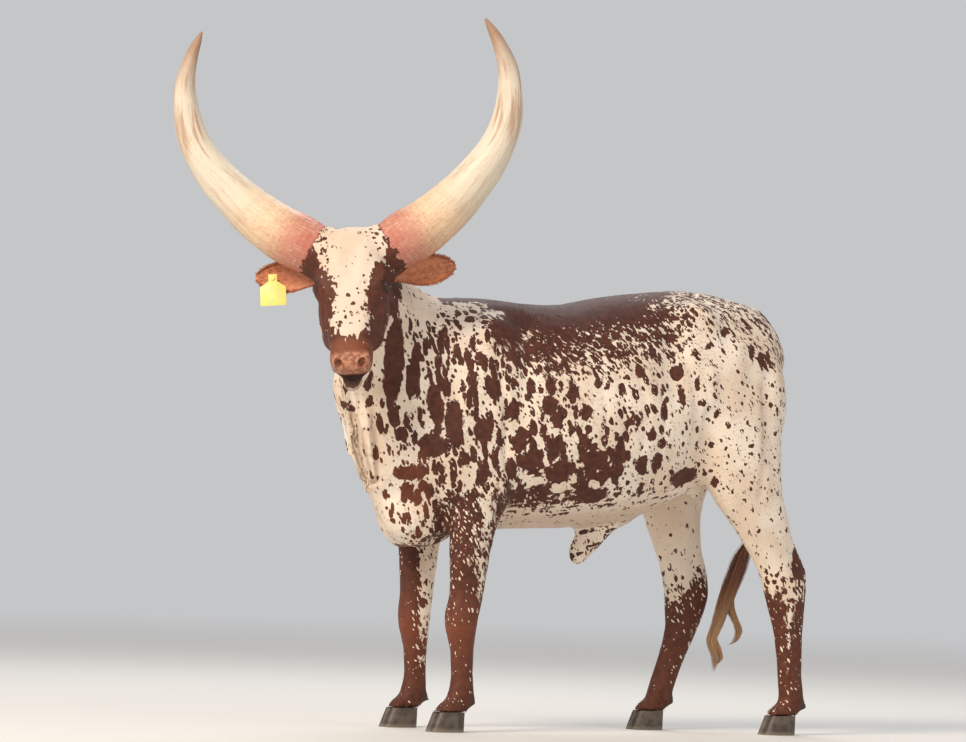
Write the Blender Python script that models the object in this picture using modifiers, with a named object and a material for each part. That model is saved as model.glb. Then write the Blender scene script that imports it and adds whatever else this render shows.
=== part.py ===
"""A life-size Ankole-Watusi bull that stands and turns its head to its left.

The animal faces -X with +Z up, and its left side is towards -Y. Sizes are metres. The flesh is modelled
whole from lofted masses that are melted into one surface, pressed into shape with named strokes, thinned,
and parted into nodes with thin cuts. Horns, eyes, ears, hooves, tail, tail locks and ear tag are pieces of
their own, each seated in what carries it with a hairline gap.
"""
import math
import random

import bmesh
import bpy
import numpy as np
from mathutils import Matrix, Vector

# Driving dimensions
FORE_TRACK = 0.155
HIND_TRACK = 0.148
FORE_HOOF_X = -0.505
NEAR_HIND_X = 0.667
FAR_HIND_X = 0.362
KNEE_Z = 0.345
NEAR_HOCK_Z = 0.485
FAR_HOCK_Z = 0.430
FETLOCK_Z = 0.108
HOOF_TOP = 0.060
POLL = Vector((-0.945, -0.200, 1.500))
HEAD_YAW = math.radians(58)
HEAD_PITCH = math.radians(65)
HEAD_ROLL = math.radians(4)
EYE_RADIUS = 0.020
EYE_PLACE = (0.094, -0.046, 0.187)
EYE_RIM = 0.0235
EAR_ROOT = (0.096, -0.160, 0.096)
EAR_LENGTH = 0.190
LOCK_COUNT = 14
GAP = 0.0003
MELT_VOXEL = 0.0045
HEAD_FACES = 2900
BODY_FACES = 4700
LEFT, RIGHT = 1, -1

# Colours and finishes: base colour, roughness, metallic
FINISH = {
    "coat": ((0.55, 0.36, 0.27), 0.75, 0.0),
    "horn": ((0.78, 0.66, 0.50), 0.45, 0.0),
    "eye": ((0.03, 0.015, 0.01), 0.08, 0.0),
    "hoof": ((0.07, 0.05, 0.04), 0.5, 0.0),
    "ear": ((0.55, 0.24, 0.12), 0.75, 0.0),
    "switch": ((0.30, 0.13, 0.06), 0.7, 0.0),
    "tag": ((0.80, 0.80, 0.18), 0.4, 0.0),
}


def new_collection(name):
    made = bpy.data.collections.new(name)
    bpy.context.scene.collection.children.link(made)
    return made


def new_material(name):
    colour, roughness, metallic = FINISH[name]
    made = bpy.data.materials.new(name)
    made.use_nodes = True
    shader = made.node_tree.nodes["Principled BSDF"]
    shader.inputs["Base Color"].default_value = (*colour, 1)
    shader.inputs["Roughness"].default_value = roughness
    shader.inputs["Metallic"].default_value = metallic
    return made


for old in list(bpy.data.objects):
    bpy.data.objects.remove(old)
ANIMAL = new_collection("ankole_bull")
SHAPING = new_collection("shaping")


def head_frame():
    """Axes of the head: its left, the way its face looks, and poll to nose, as columns placed at the poll."""
    forward = Vector((-math.cos(HEAD_YAW), -math.sin(HEAD_YAW), 0))
    up = Vector((0, 0, 1))
    left = up.cross(forward)
    along = forward * math.cos(HEAD_PITCH) - up * math.sin(HEAD_PITCH)
    out = forward * math.sin(HEAD_PITCH) + up * math.cos(HEAD_PITCH)
    turn = Matrix.Rotation(HEAD_ROLL, 3, forward)
    return Matrix.Translation(POLL) @ (turn @ Matrix((left, out, along)).transposed()).to_4x4()


def poll_frame():
    """Axes of the horns: the animal's left, its own up and forward, as columns placed at the poll."""
    forward = Vector((-math.cos(HEAD_YAW), -math.sin(HEAD_YAW), 0))
    up = Vector((0, 0, 1))
    turn = Matrix.Rotation(HEAD_ROLL, 3, forward)
    return Matrix.Translation(POLL) @ (turn @ Matrix((up.cross(forward), forward, up)).transposed()).to_4x4()


HEAD = head_frame()
CROWN = poll_frame()


# Mesh helpers
def object_from(name, points, faces):
    mesh = bpy.data.meshes.new(name)
    mesh.from_pydata([tuple(p) for p in points], [], faces)
    made = bpy.data.objects.new(name, mesh)
    SHAPING.objects.link(made)
    face_outward(made)
    return made


def face_outward(obj):
    work = bmesh.new()
    work.from_mesh(obj.data)
    bmesh.ops.recalc_face_normals(work, faces=work.faces)
    work.to_mesh(obj.data)
    work.free()


def place(obj, frame):
    obj.data.transform(frame)
    if frame.determinant() < 0:
        obj.data.flip_normals()
    return obj


def smooth_rows(rows, steps):
    """Rows that run smoothly through the given ones, with steps rows to a span."""
    rows = np.array(rows, float)
    padded = np.vstack([2 * rows[0] - rows[1], rows, 2 * rows[-1] - rows[-2]])
    out = []
    for a, b, c, d in zip(padded, padded[1:], padded[2:], padded[3:]):
        for t in np.arange(steps) / steps:
            bend = (2 * a - 5 * b + 4 * c - d) * t**2 + (3 * b - a - 3 * c + d) * t**3
            out.append(0.5 * (2 * b + (c - a) * t + bend))
    out.append(rows[-1])
    return np.array(out)


def section(centre, across, up, half, rise, drop, square_top, square_low, sides):
    """One closed ring whose upper and lower halves have their own height and squareness."""
    points = []
    for i in range(sides):
        c = math.cos(math.tau * i / sides)
        s = math.sin(math.tau * i / sides)
        square, reach = (square_top, rise) if s >= 0 else (square_low, drop)
        side = half * math.copysign(abs(c) ** (2 / square), c)
        height = reach * math.copysign(abs(s) ** (2 / square), s)
        points.append(centre + across * side + up * height)
    return points


def loft(name, stations, up_hint, sides=24, steps=3):
    """A closed body through stations (x, y, z, half width, rise, drop, square top, square low)."""
    rows = smooth_rows(stations, steps)
    centres = [Vector(row[:3]) for row in rows]
    last = len(rows) - 1
    points = []
    for i, row in enumerate(rows):
        along = (centres[min(i + 1, last)] - centres[max(i - 1, 0)]).normalized()
        across = Vector(up_hint).cross(along).normalized()
        up = along.cross(across)
        half, rise, drop = (max(size, 0.001) for size in row[3:6])
        points += section(centres[i], across, up, half, rise, drop, row[6], row[7], sides)
    faces = [tuple(range(sides)), tuple(range(last * sides, (last + 1) * sides))]
    for i in range(last):
        for j in range(sides):
            k = (j + 1) % sides
            faces.append((i * sides + j, i * sides + k, (i + 1) * sides + k, (i + 1) * sides + j))
    return object_from(name, points, faces)


def tube(name, stations, up_hint, sides=10, steps=3):
    """A round loft through stations (x, y, z, radius)."""
    return loft(name, [(*row[:3], row[3], row[3], row[3], 2, 2) for row in stations], up_hint, sides, steps)


def blob(name, centre, radii, tilt=0.0, detail=3):
    """An ellipsoid, tilted by degrees about the Y axis."""
    work = bmesh.new()
    bmesh.ops.create_icosphere(work, subdivisions=detail, radius=1)
    turn = Matrix.Rotation(math.radians(tilt), 4, "Y")
    bmesh.ops.transform(work, matrix=Matrix.Translation(centre) @ turn @ Matrix.Diagonal((*radii, 1)),
                        verts=work.verts)
    mesh = bpy.data.meshes.new(name)
    work.to_mesh(mesh)
    work.free()
    made = bpy.data.objects.new(name, mesh)
    SHAPING.objects.link(made)
    return made


def both_sides(maker):
    """The piece that maker(side) gives on the left and on the right."""
    return [maker(LEFT), maker(RIGHT)]


def apply(obj, kind, **settings):
    step = obj.modifiers.new(kind, kind)
    for name, value in settings.items():
        setattr(step, name, value)
    with bpy.context.temp_override(object=obj, active_object=obj, selected_objects=[obj]):
        bpy.ops.object.modifier_apply(modifier=step.name)


def join(name, pieces):
    """The pieces as loose shells of one object."""
    work = bmesh.new()
    for piece in pieces:
        work.from_mesh(piece.data)
        bpy.data.objects.remove(piece)
    mesh = bpy.data.meshes.new(name)
    work.to_mesh(mesh)
    work.free()
    made = bpy.data.objects.new(name, mesh)
    SHAPING.objects.link(made)
    return made


def fuse(obj, pieces):
    """One union of obj with the pieces, which are then removed."""
    group = new_collection(obj.name + "_pieces")
    for piece in pieces:
        SHAPING.objects.unlink(piece)
        group.objects.link(piece)
    apply(obj, "BOOLEAN", operation="UNION", solver="MANIFOLD", operand_type="COLLECTION", collection=group)
    for piece in list(group.objects):
        bpy.data.objects.remove(piece)
    bpy.data.collections.remove(group)


def cut(obj, tool, keep_inside=False):
    mode = "INTERSECT" if keep_inside else "DIFFERENCE"
    apply(obj, "BOOLEAN", operation=mode, solver="MANIFOLD", object=tool)


def copy_of(obj, name):
    made = bpy.data.objects.new(name, obj.data.copy())
    SHAPING.objects.link(made)
    return made


def grown(obj, distance):
    """A copy of obj that is larger by distance all round."""
    made = copy_of(obj, obj.name + "_grown")
    work = bmesh.new()
    work.from_mesh(made.data)
    work.normal_update()
    for vertex in work.verts:
        vertex.co += vertex.normal * distance * vertex.calc_shell_factor()
    work.to_mesh(made.data)
    work.free()
    return made


def seat(carrier, piece):
    """Room for the piece in its carrier, with the hairline gap."""
    room = grown(piece, GAP)
    cut(carrier, room)
    bpy.data.objects.remove(room)


def largest_shell(obj):
    work = bmesh.new()
    work.from_mesh(obj.data)
    bmesh.ops.remove_doubles(work, verts=work.verts, dist=0.000001)
    left_over = set(work.faces)
    shells = []
    while left_over:
        first = left_over.pop()
        shell, front = [first], [first]
        while front:
            for edge in front.pop().edges:
                for face in edge.link_faces:
                    if face in left_over:
                        left_over.remove(face)
                        shell.append(face)
                        front.append(face)
        shells.append(shell)
    shells.sort(key=lambda shell: sum(face.calc_area() for face in shell))
    for shell in shells[:-1]:
        bmesh.ops.delete(work, geom=shell, context="FACES")
    loose = [vertex for vertex in work.verts if not vertex.link_faces]
    bmesh.ops.delete(work, geom=loose, context="VERTS")
    bmesh.ops.triangulate(work, faces=work.faces)
    work.to_mesh(obj.data)
    work.free()


def finish(obj, name, finish_name):
    """The piece as a named node of the animal, with its material."""
    largest_shell(obj)
    obj.name = name
    obj.data.name = name
    SHAPING.objects.unlink(obj)
    ANIMAL.objects.link(obj)
    obj.data.materials.clear()
    if finish_name not in bpy.data.materials:
        new_material(finish_name)
    obj.data.materials.append(bpy.data.materials[finish_name])
    obj.data.shade_smooth()
    return obj


# Strokes: small moves of the surface along its normals
class Clay:
    """The flesh while it is soft: its points and normals, moved by strokes and written back at the end."""

    def __init__(self, obj):
        self.mesh = obj.data
        self.points = np.empty(len(self.mesh.vertices) * 3)
        self.mesh.vertices.foreach_get("co", self.points)
        self.points = self.points.reshape(-1, 3)
        self.refresh()

    def refresh(self):
        self.mesh.vertices.foreach_set("co", self.points.ravel())
        self.mesh.update()
        normals = np.empty(len(self.mesh.vertices) * 3)
        self.mesh.vertex_normals.foreach_get("vector", normals)
        self.normals = normals.reshape(-1, 3)

    def stroke(self, frame, path, reach, depth, side=0, facing=0.15):
        """Move the surface near a path by depth. The path is seen flat along the frame's first axis,
        in its second and third. Side keeps to one side of the frame, or 0 for all."""
        back = np.array(frame.inverted())
        local = self.points @ back[:3, :3].T + back[:3, 3]
        turned = self.normals @ back[:3, :3].T
        path = np.array(smooth_rows(path, 6) if len(path) > 2 else path, float)
        nearest = np.full(len(local), 1e9)
        for a, b in zip(path, path[1:]):
            span = b - a
            t = np.clip(((local[:, 1:] - a) @ span) / (span @ span), 0, 1)
            nearest = np.minimum(nearest, np.linalg.norm(local[:, 1:] - (a + t[:, None] * span), axis=1))
        weight = np.exp(-((nearest / reach) ** 2) * 2)
        if side:
            weight *= np.clip((turned[:, 0] * side - facing) / 0.3, 0, 1) * (local[:, 0] * side > 0)
        self.points += self.normals * (weight * depth)[:, None]

    def press(self, centre, reach, depth, direction=None):
        """Move the surface near a point by depth, along its normals or a direction."""
        near = np.linalg.norm(self.points - np.array(centre), axis=1)
        weight = (np.exp(-((near / reach) ** 2) * 2) * depth)[:, None]
        self.points += (self.normals if direction is None else np.array(direction)) * weight

    def relax(self, rounds, where=None):
        """Even the surface out by moving each point towards the mean of its neighbours."""
        edges = np.empty(len(self.mesh.edges) * 2, int)
        self.mesh.edges.foreach_get("vertices", edges)
        a, b = edges.reshape(-1, 2).T
        count = np.bincount(edges, minlength=len(self.points))[:, None]
        for _ in range(rounds):
            total = np.zeros_like(self.points)
            for axis in range(3):
                total[:, axis] += np.bincount(a, self.points[b, axis], len(self.points))
                total[:, axis] += np.bincount(b, self.points[a, axis], len(self.points))
            moved = 0.5 * self.points + 0.5 * total / count
            self.points = moved if where is None else self.points + (moved - self.points) * where[:, None]


# Flesh masses
def torso_mass():
    rows = [
        # x, top, bottom, half width
        (-0.755, 0.74, 0.625, 0.05),
        (-0.725, 0.92, 0.575, 0.115),
        (-0.66, 1.13, 0.548, 0.165),
        (-0.58, 1.27, 0.548, 0.195),
        (-0.48, 1.318, 0.572, 0.220),
        (-0.38, 1.322, 0.603, 0.238),
        (-0.26, 1.312, 0.614, 0.252),
        (-0.12, 1.313, 0.620, 0.264),
        (0.00, 1.332, 0.634, 0.266),
        (0.12, 1.362, 0.668, 0.258),
        (0.24, 1.388, 0.735, 0.240),
        (0.36, 1.398, 0.825, 0.228),
        (0.47, 1.382, 0.900, 0.205),
        (0.555, 1.346, 0.960, 0.165),
        (0.622, 1.250, 1.020, 0.112),
        (0.650, 1.160, 1.060, 0.05),
    ]
    stations = []
    for x, top, low, half in rows:
        middle = low + (top - low) * 0.46
        stations.append((x, 0, middle, half, top - middle, middle - low, 2.0, 2.15))
    return loft("torso_mass", stations, (0, 0, 1), sides=36)


def neck_mass():
    stations = [
        # centre, half width, rise, drop, squareness
        (-0.40, 0.000, 1.020, 0.170, 0.27, 0.26, 2.0, 2.0),
        (-0.54, -0.003, 1.060, 0.150, 0.25, 0.26, 2.0, 2.0),
        (-0.66, -0.020, 1.125, 0.118, 0.225, 0.23, 2.0, 1.9),
        (-0.76, -0.055, 1.205, 0.096, 0.195, 0.175, 2.0, 1.8),
        (-0.845, -0.105, 1.290, 0.086, 0.160, 0.130, 2.0, 1.8),
        (-0.895, -0.150, 1.365, 0.082, 0.115, 0.100, 2.0, 1.9),
        (-0.925, -0.180, 1.400, 0.074, 0.085, 0.085, 2.0, 2.0),
    ]
    return loft("neck_mass", stations, (0, 0, 1), sides=28)


def dewlap_mass():
    """The hanging fold of skin from the throat to the brisket."""
    stations = [
        # centre, half thickness, forward, back
        (-0.860, -0.110, 1.235, 0.050, 0.050, 0.10, 1.6, 2.0),
        (-0.860, -0.098, 1.130, 0.036, 0.066, 0.13, 1.5, 2.0),
        (-0.840, -0.074, 1.010, 0.030, 0.066, 0.14, 1.5, 2.0),
        (-0.815, -0.052, 0.900, 0.030, 0.056, 0.14, 1.5, 2.0),
        (-0.785, -0.032, 0.800, 0.034, 0.054, 0.13, 1.5, 2.0),
        (-0.750, -0.016, 0.715, 0.044, 0.050, 0.12, 1.6, 2.0),
        (-0.720, -0.004, 0.650, 0.052, 0.040, 0.09, 1.8, 2.0),
    ]
    return loft("dewlap_mass", stations, (-0.94, -0.34, 0), sides=24)


def shoulder_mass(side):
    y = -side
    return [
        blob("shoulder_blade", (-0.455, 0.138 * y, 1.02), (0.140, 0.074, 0.245), 14),
        blob("upper_arm", (-0.520, 0.160 * y, 0.815), (0.135, 0.072, 0.165), -18),
        blob("brisket_half", (-0.605, 0.046 * y, 0.668), (0.145, 0.090, 0.124)),
    ]


def foot_rows(x, y, size):
    """Fetlock, pastern and the top of the hoof, from the fetlock down."""
    return [
        (x, y, FETLOCK_Z, 0.0375 * size, 0.040, 0.043, 2.1, 2.3),
        (x - 0.014, y, 0.082, 0.0358 * size, 0.036, 0.040, 2.2, 2.2),
        (x - 0.030, y, 0.058, 0.0410 * size, 0.047, 0.043, 2.3, 2.2),
        (x - 0.038, y, 0.040, 0.0420 * size, 0.052, 0.046, 2.3, 2.2),
    ]


def fore_leg_mass(side):
    y = -FORE_TRACK * side
    x = FORE_HOOF_X
    lean = 0.012 if side == LEFT else 0.004
    stations = [
        # centre, half width, forward, back
        (x + 0.030, y * 0.98, 0.860, 0.070, 0.100, 0.120, 2, 2),
        (x + 0.028 + lean, y * 1.06, 0.740, 0.072, 0.098, 0.112, 2, 2),
        (x + 0.012 + lean, y * 1.06, 0.650, 0.062, 0.076, 0.084, 2, 2),
        (x + 0.006 + lean, y * 1.04, 0.560, 0.053, 0.070, 0.068, 2, 2),
        (x + 0.006 + lean, y * 1.02, 0.470, 0.046, 0.064, 0.056, 2.1, 2),
        (x + 0.002 + lean, y, 0.400, 0.043, 0.058, 0.050, 2.3, 2.1),
        (x - 0.002, y, KNEE_Z, 0.046, 0.053, 0.052, 2.6, 2.3),
        (x, y, KNEE_Z - 0.048, 0.041, 0.048, 0.047, 2.5, 2.2),
        (x + 0.002, y, KNEE_Z - 0.095, 0.033, 0.039, 0.041, 2.2, 2.2),
        (x + 0.004, y, 0.175, 0.0310, 0.035, 0.038, 2.1, 2.3),
        (x + 0.003, y, FETLOCK_Z + 0.025, 0.034, 0.038, 0.040, 2.1, 2.3),
    ]
    return loft("fore_leg_mass", stations + foot_rows(x, y, 1.0), (-1, 0, 0), sides=24)


def near_hind_mass():
    y = -HIND_TRACK
    x = NEAR_HIND_X
    stations = [
        (0.430, -0.120, 1.080, 0.100, 0.17, 0.165, 2, 2),
        (0.430, -0.138, 0.960, 0.098, 0.175, 0.175, 2, 2),
        (0.450, -0.152, 0.860, 0.088, 0.155, 0.160, 2, 2),
        (0.480, -0.160, 0.770, 0.074, 0.128, 0.132, 2, 2),
        (0.520, -0.160, 0.690, 0.062, 0.098, 0.106, 2, 2),
        (0.562, -0.156, 0.610, 0.050, 0.080, 0.090, 2, 2),
        (0.598, -0.152, 0.545, 0.043, 0.074, 0.088, 2, 1.7),
        (0.622, -0.150, 0.495, 0.043, 0.074, 0.087, 2.2, 1.8),
        (0.636, y, 0.445, 0.043, 0.071, 0.077, 2.4, 2.0),
        (0.645, y, 0.390, 0.040, 0.064, 0.064, 2.3, 2.1),
        (0.652, y, 0.325, 0.035, 0.052, 0.051, 2.1, 2.3),
        (0.658, y, 0.240, 0.032, 0.044, 0.044, 2.1, 2.3),
        (0.663, y, 0.170, 0.032, 0.042, 0.042, 2.1, 2.3),
        (0.668, y, FETLOCK_Z + 0.020, 0.035, 0.042, 0.043, 2.1, 2.3),
    ]
    return loft("near_hind_mass", stations + foot_rows(x, y, 0.975), (-1, 0, 0), sides=24)


def far_hind_mass():
    y = HIND_TRACK
    x = FAR_HIND_X
    stations = [
        (0.420, 0.120, 1.080, 0.100, 0.17, 0.170, 2, 2),
        (0.400, 0.136, 0.960, 0.098, 0.165, 0.185, 2, 2),
        (0.390, 0.148, 0.860, 0.088, 0.150, 0.175, 2, 2),
        (0.390, 0.154, 0.770, 0.074, 0.130, 0.142, 2, 2),
        (0.395, 0.154, 0.690, 0.062, 0.105, 0.112, 2, 2),
        (0.408, 0.151, 0.610, 0.050, 0.086, 0.094, 2, 2),
        (0.425, 0.149, 0.535, 0.041, 0.073, 0.090, 2, 1.8),
        (0.442, y, 0.470, 0.043, 0.072, 0.092, 2.2, 1.8),
        (0.450, y, 0.420, 0.043, 0.073, 0.084, 2.4, 1.9),
        (0.446, y, 0.365, 0.040, 0.067, 0.068, 2.3, 2.1),
        (0.430, y, 0.300, 0.035, 0.053, 0.053, 2.1, 2.3),
        (0.408, y, 0.235, 0.032, 0.046, 0.045, 2.1, 2.3),
        (0.384, y, 0.170, 0.032, 0.044, 0.043, 2.1, 2.3),
        (0.368, y, FETLOCK_Z + 0.020, 0.035, 0.042, 0.043, 2.1, 2.3),
    ]
    return loft("far_hind_mass", stations + foot_rows(x, y, 0.975), (-1, 0, 0), sides=24)


def dewclaws():
    """Two small horny knobs behind each fetlock."""
    made = []
    for x, side in ((FORE_HOOF_X, LEFT), (FORE_HOOF_X, RIGHT), (NEAR_HIND_X, LEFT), (FAR_HIND_X, RIGHT)):
        track = FORE_TRACK if x < 0 else HIND_TRACK
        for offset in (-0.019, 0.019):
            centre = (x + 0.040, -side * track + offset, FETLOCK_Z - 0.018)
            made.append(blob("dewclaw", centre, (0.016, 0.0115, 0.020), -25, 2))
    return made


def rump_mass(side):
    y = -side
    return [
        blob("hook_bone", (0.290, 0.142 * y, 1.268), (0.115, 0.060, 0.070), 14),
        blob("pin_bone", (0.552, 0.074 * y, 1.215), (0.085, 0.058, 0.090), 20),
        blob("buttock", (0.512, 0.115 * y, 1.050), (0.125, 0.095, 0.200), -6),
    ]


def sheath_mass():
    """The hanging fold under the navel, with its opening at the front."""
    stations = [
        (0.150, 0, 0.690, 0.030, 0.040, 0.050, 2, 2),
        (0.080, 0, 0.650, 0.034, 0.050, 0.040, 2, 2),
        (0.020, 0, 0.590, 0.033, 0.060, 0.040, 2, 2),
        (-0.022, 0, 0.542, 0.028, 0.050, 0.032, 2, 2),
        (-0.036, 0, 0.510, 0.016, 0.022, 0.018, 2, 2),
    ]
    return loft("sheath_mass", stations, (-0.7, 0, 0.7), sides=16)


def scrotum_mass():
    return blob("scrotum_mass", (0.395, 0, 0.800), (0.055, 0.048, 0.085), 8)


def head_mass():
    rows = [
        # along, face, jaw, half width, squareness of face and jaw
        (-0.032, -0.048, -0.120, 0.040, 2.0, 2.0),
        (-0.010, -0.016, -0.165, 0.078, 2.2, 2.0),
        (0.030, 0.000, -0.190, 0.098, 2.5, 2.1),
        (0.080, 0.004, -0.205, 0.104, 2.7, 2.2),
        (0.130, 0.006, -0.216, 0.106, 2.8, 2.3),
        (0.185, 0.003, -0.220, 0.104, 2.8, 2.4),
        (0.240, -0.001, -0.212, 0.097, 2.7, 2.4),
        (0.300, -0.004, -0.190, 0.085, 2.6, 2.3),
        (0.355, -0.008, -0.162, 0.074, 2.5, 2.2),
        (0.405, -0.013, -0.144, 0.068, 2.5, 2.2),
        (0.442, -0.022, -0.132, 0.066, 2.5, 2.2),
        (0.468, -0.034, -0.122, 0.057, 2.3, 2.2),
        (0.484, -0.050, -0.106, 0.036, 2.0, 2.0),
    ]
    stations = []
    for along, face, jaw, half, square_top, square_low in rows:
        middle = jaw + (face - jaw) * 0.52
        stations.append((0, middle, along, half, face - middle, middle - jaw, square_top, square_low))
    return place(loft("head_mass", stations, (0, 1, 0), sides=36), HEAD)


def head_side_mass(side):
    """Cheek muscle, jaw corner, brow, eye rim, nostril wing and the boss that carries the horn."""
    masses = [
        blob("cheek", (0.062 * side, -0.130, 0.215), (0.046, 0.068, 0.105)),
        blob("lower_cheek", (0.056 * side, -0.120, 0.300), (0.036, 0.045, 0.075)),
        blob("jaw_corner", (0.050 * side, -0.178, 0.150), (0.042, 0.042, 0.070)),
        blob("brow", (0.070 * side, -0.034, 0.158), (0.040, 0.029, 0.062)),
        blob("nostril_wing", (0.042 * side, -0.045, 0.440), (0.025, 0.024, 0.040)),
        blob("upper_lip", (0.030 * side, -0.070, 0.456), (0.032, 0.026, 0.029)),
    ]
    eye, look, slit, rise = eye_axes(side)
    rim = []
    for i in range(14):
        turn = math.tau * i / 12
        spot = eye + look * 0.004 + (slit * math.cos(turn) * 1.10 + rise * math.sin(turn)) * EYE_RIM
        rim.append((*spot, 0.0095))
    masses.append(tube("eye_rim", rim, tuple(look), sides=10, steps=1))
    for mass in masses:
        place(mass, HEAD)
    boss = tube("horn_boss", [
        (0.0, -0.080, -0.086, 0.074),
        (0.045 * side, -0.079, -0.088, 0.080),
        (0.090 * side, -0.077, -0.079, 0.086),
        (0.127 * side, -0.077, -0.054, 0.087),
    ], (0, 1, 0), sides=20)
    return masses + [place(boss, CROWN)]


def chin_mass():
    return [
        place(blob("chin", (0, -0.130, 0.476), (0.037, 0.027, 0.056)), HEAD),
        place(blob("lower_lip", (0, -0.113, 0.497), (0.038, 0.019, 0.030)), HEAD),
    ]


def ear_stub(side):
    """The fleshy root of the ear."""
    root = Vector((EAR_ROOT[0] * side, EAR_ROOT[1], EAR_ROOT[2]))
    return place(tube("ear_stub", [
        (root.x - 0.030 * side, root.y, root.z, 0.030),
        (root.x, root.y, root.z, 0.028),
        (root.x + 0.026 * side, root.y + 0.004, root.z, 0.024),
    ], (0, 1, 0), sides=14), HEAD)


def eye_axes(side):
    """The eye's centre in the head, the way it looks, its slit from ear to nose, and the way its lid rises."""
    eye = Vector((EYE_PLACE[0] * side, EYE_PLACE[1], EYE_PLACE[2]))
    look = Vector((0.91 * side, 0.41, -0.05)).normalized()
    slit = Vector((0.10 * side, -0.30, 0.95))
    slit = (slit - look * slit.dot(look)).normalized()
    rise = look.cross(slit)
    return eye, look, slit, rise if rise.y > 0 else -rise


def lids(side):
    """The skin over the eyeball, which the lid opening then parts into upper and lower lid."""
    eye, look, slit, rise = eye_axes(side)
    return place(blob("lids", eye + look * 0.0004, (EYE_RADIUS * 1.13,) * 3, 0, 3), HEAD)


def lid_opening(side):
    """The almond between the lids, from the corner by the nose to the corner by the ear."""
    eye, look, slit, rise = eye_axes(side)
    rows = []
    for reach in (0.3, 0.9, 1.5):
        half = EYE_RADIUS * (0.80 + 0.08 * reach)
        rows.append((*(eye + look * EYE_RADIUS * reach), half, half * 0.60, half * 0.50, 1.6, 1.6))
    return place(loft("lid_opening", rows, tuple(rise), sides=20, steps=1), HEAD)


def nostril(side):
    """A comma-shaped hollow in the nose pad."""
    hollow = blob("nostril", (0, 0, 0), (0.0095, 0.018, 0.012), 0, 2)
    spot = Matrix.Translation((0.036 * side, -0.034, 0.464))
    return place(hollow, HEAD @ spot @ Matrix.Rotation(math.radians(-38 * side), 4, "Z")
                 @ Matrix.Rotation(math.radians(-25), 4, "X"))


def mouth(body):
    """The groove between the lips, from one corner of the mouth to the other, laid along the surface."""
    half = [(0.080, -0.084, 0.366), (0.080, -0.089, 0.400), (0.076, -0.092, 0.435), (0.060, -0.092, 0.465),
            (0.030, -0.090, 0.490)]
    path = [(-x, out, along) for x, out, along in half] + [(0, -0.089, 0.495)]
    path += [(x, out, along) for x, out, along in reversed(half)]
    rows = []
    for spot in path:
        found, nearest, normal, face = body.closest_point_on_mesh(HEAD @ Vector(spot))
        rows.append((*nearest, 0.0038))
    return tube("mouth", rows, tuple(HEAD.col[1].xyz), sides=6, steps=2)


def flesh():
    masses = [torso_mass(), neck_mass(), dewlap_mass(), near_hind_mass(), far_hind_mass(), sheath_mass(),
              scrotum_mass(), head_mass()]
    for side in (LEFT, RIGHT):
        masses += shoulder_mass(side) + rump_mass(side) + head_side_mass(side)
        masses += [fore_leg_mass(side), ear_stub(side)]
    masses += dewclaws() + chin_mass()
    body = join("flesh", masses)
    apply(body, "REMESH", mode="VOXEL", voxel_size=MELT_VOXEL)
    clay = Clay(body)
    sculpt_body(clay)
    sculpt_head(clay)
    clay.refresh()
    return body


def head_weight(points, low=0.10, high=0.30):
    """1 on the head, 0 from a hand's breadth down the neck."""
    back = np.array(HEAD.inverted())
    local = points @ back[:3, :3].T + back[:3, 3]
    return np.clip((local[:, 1] + 0.26) / 0.05, 0, 1) * np.clip((local[:, 2] + 0.20) / 0.1, 0, 1)


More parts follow.
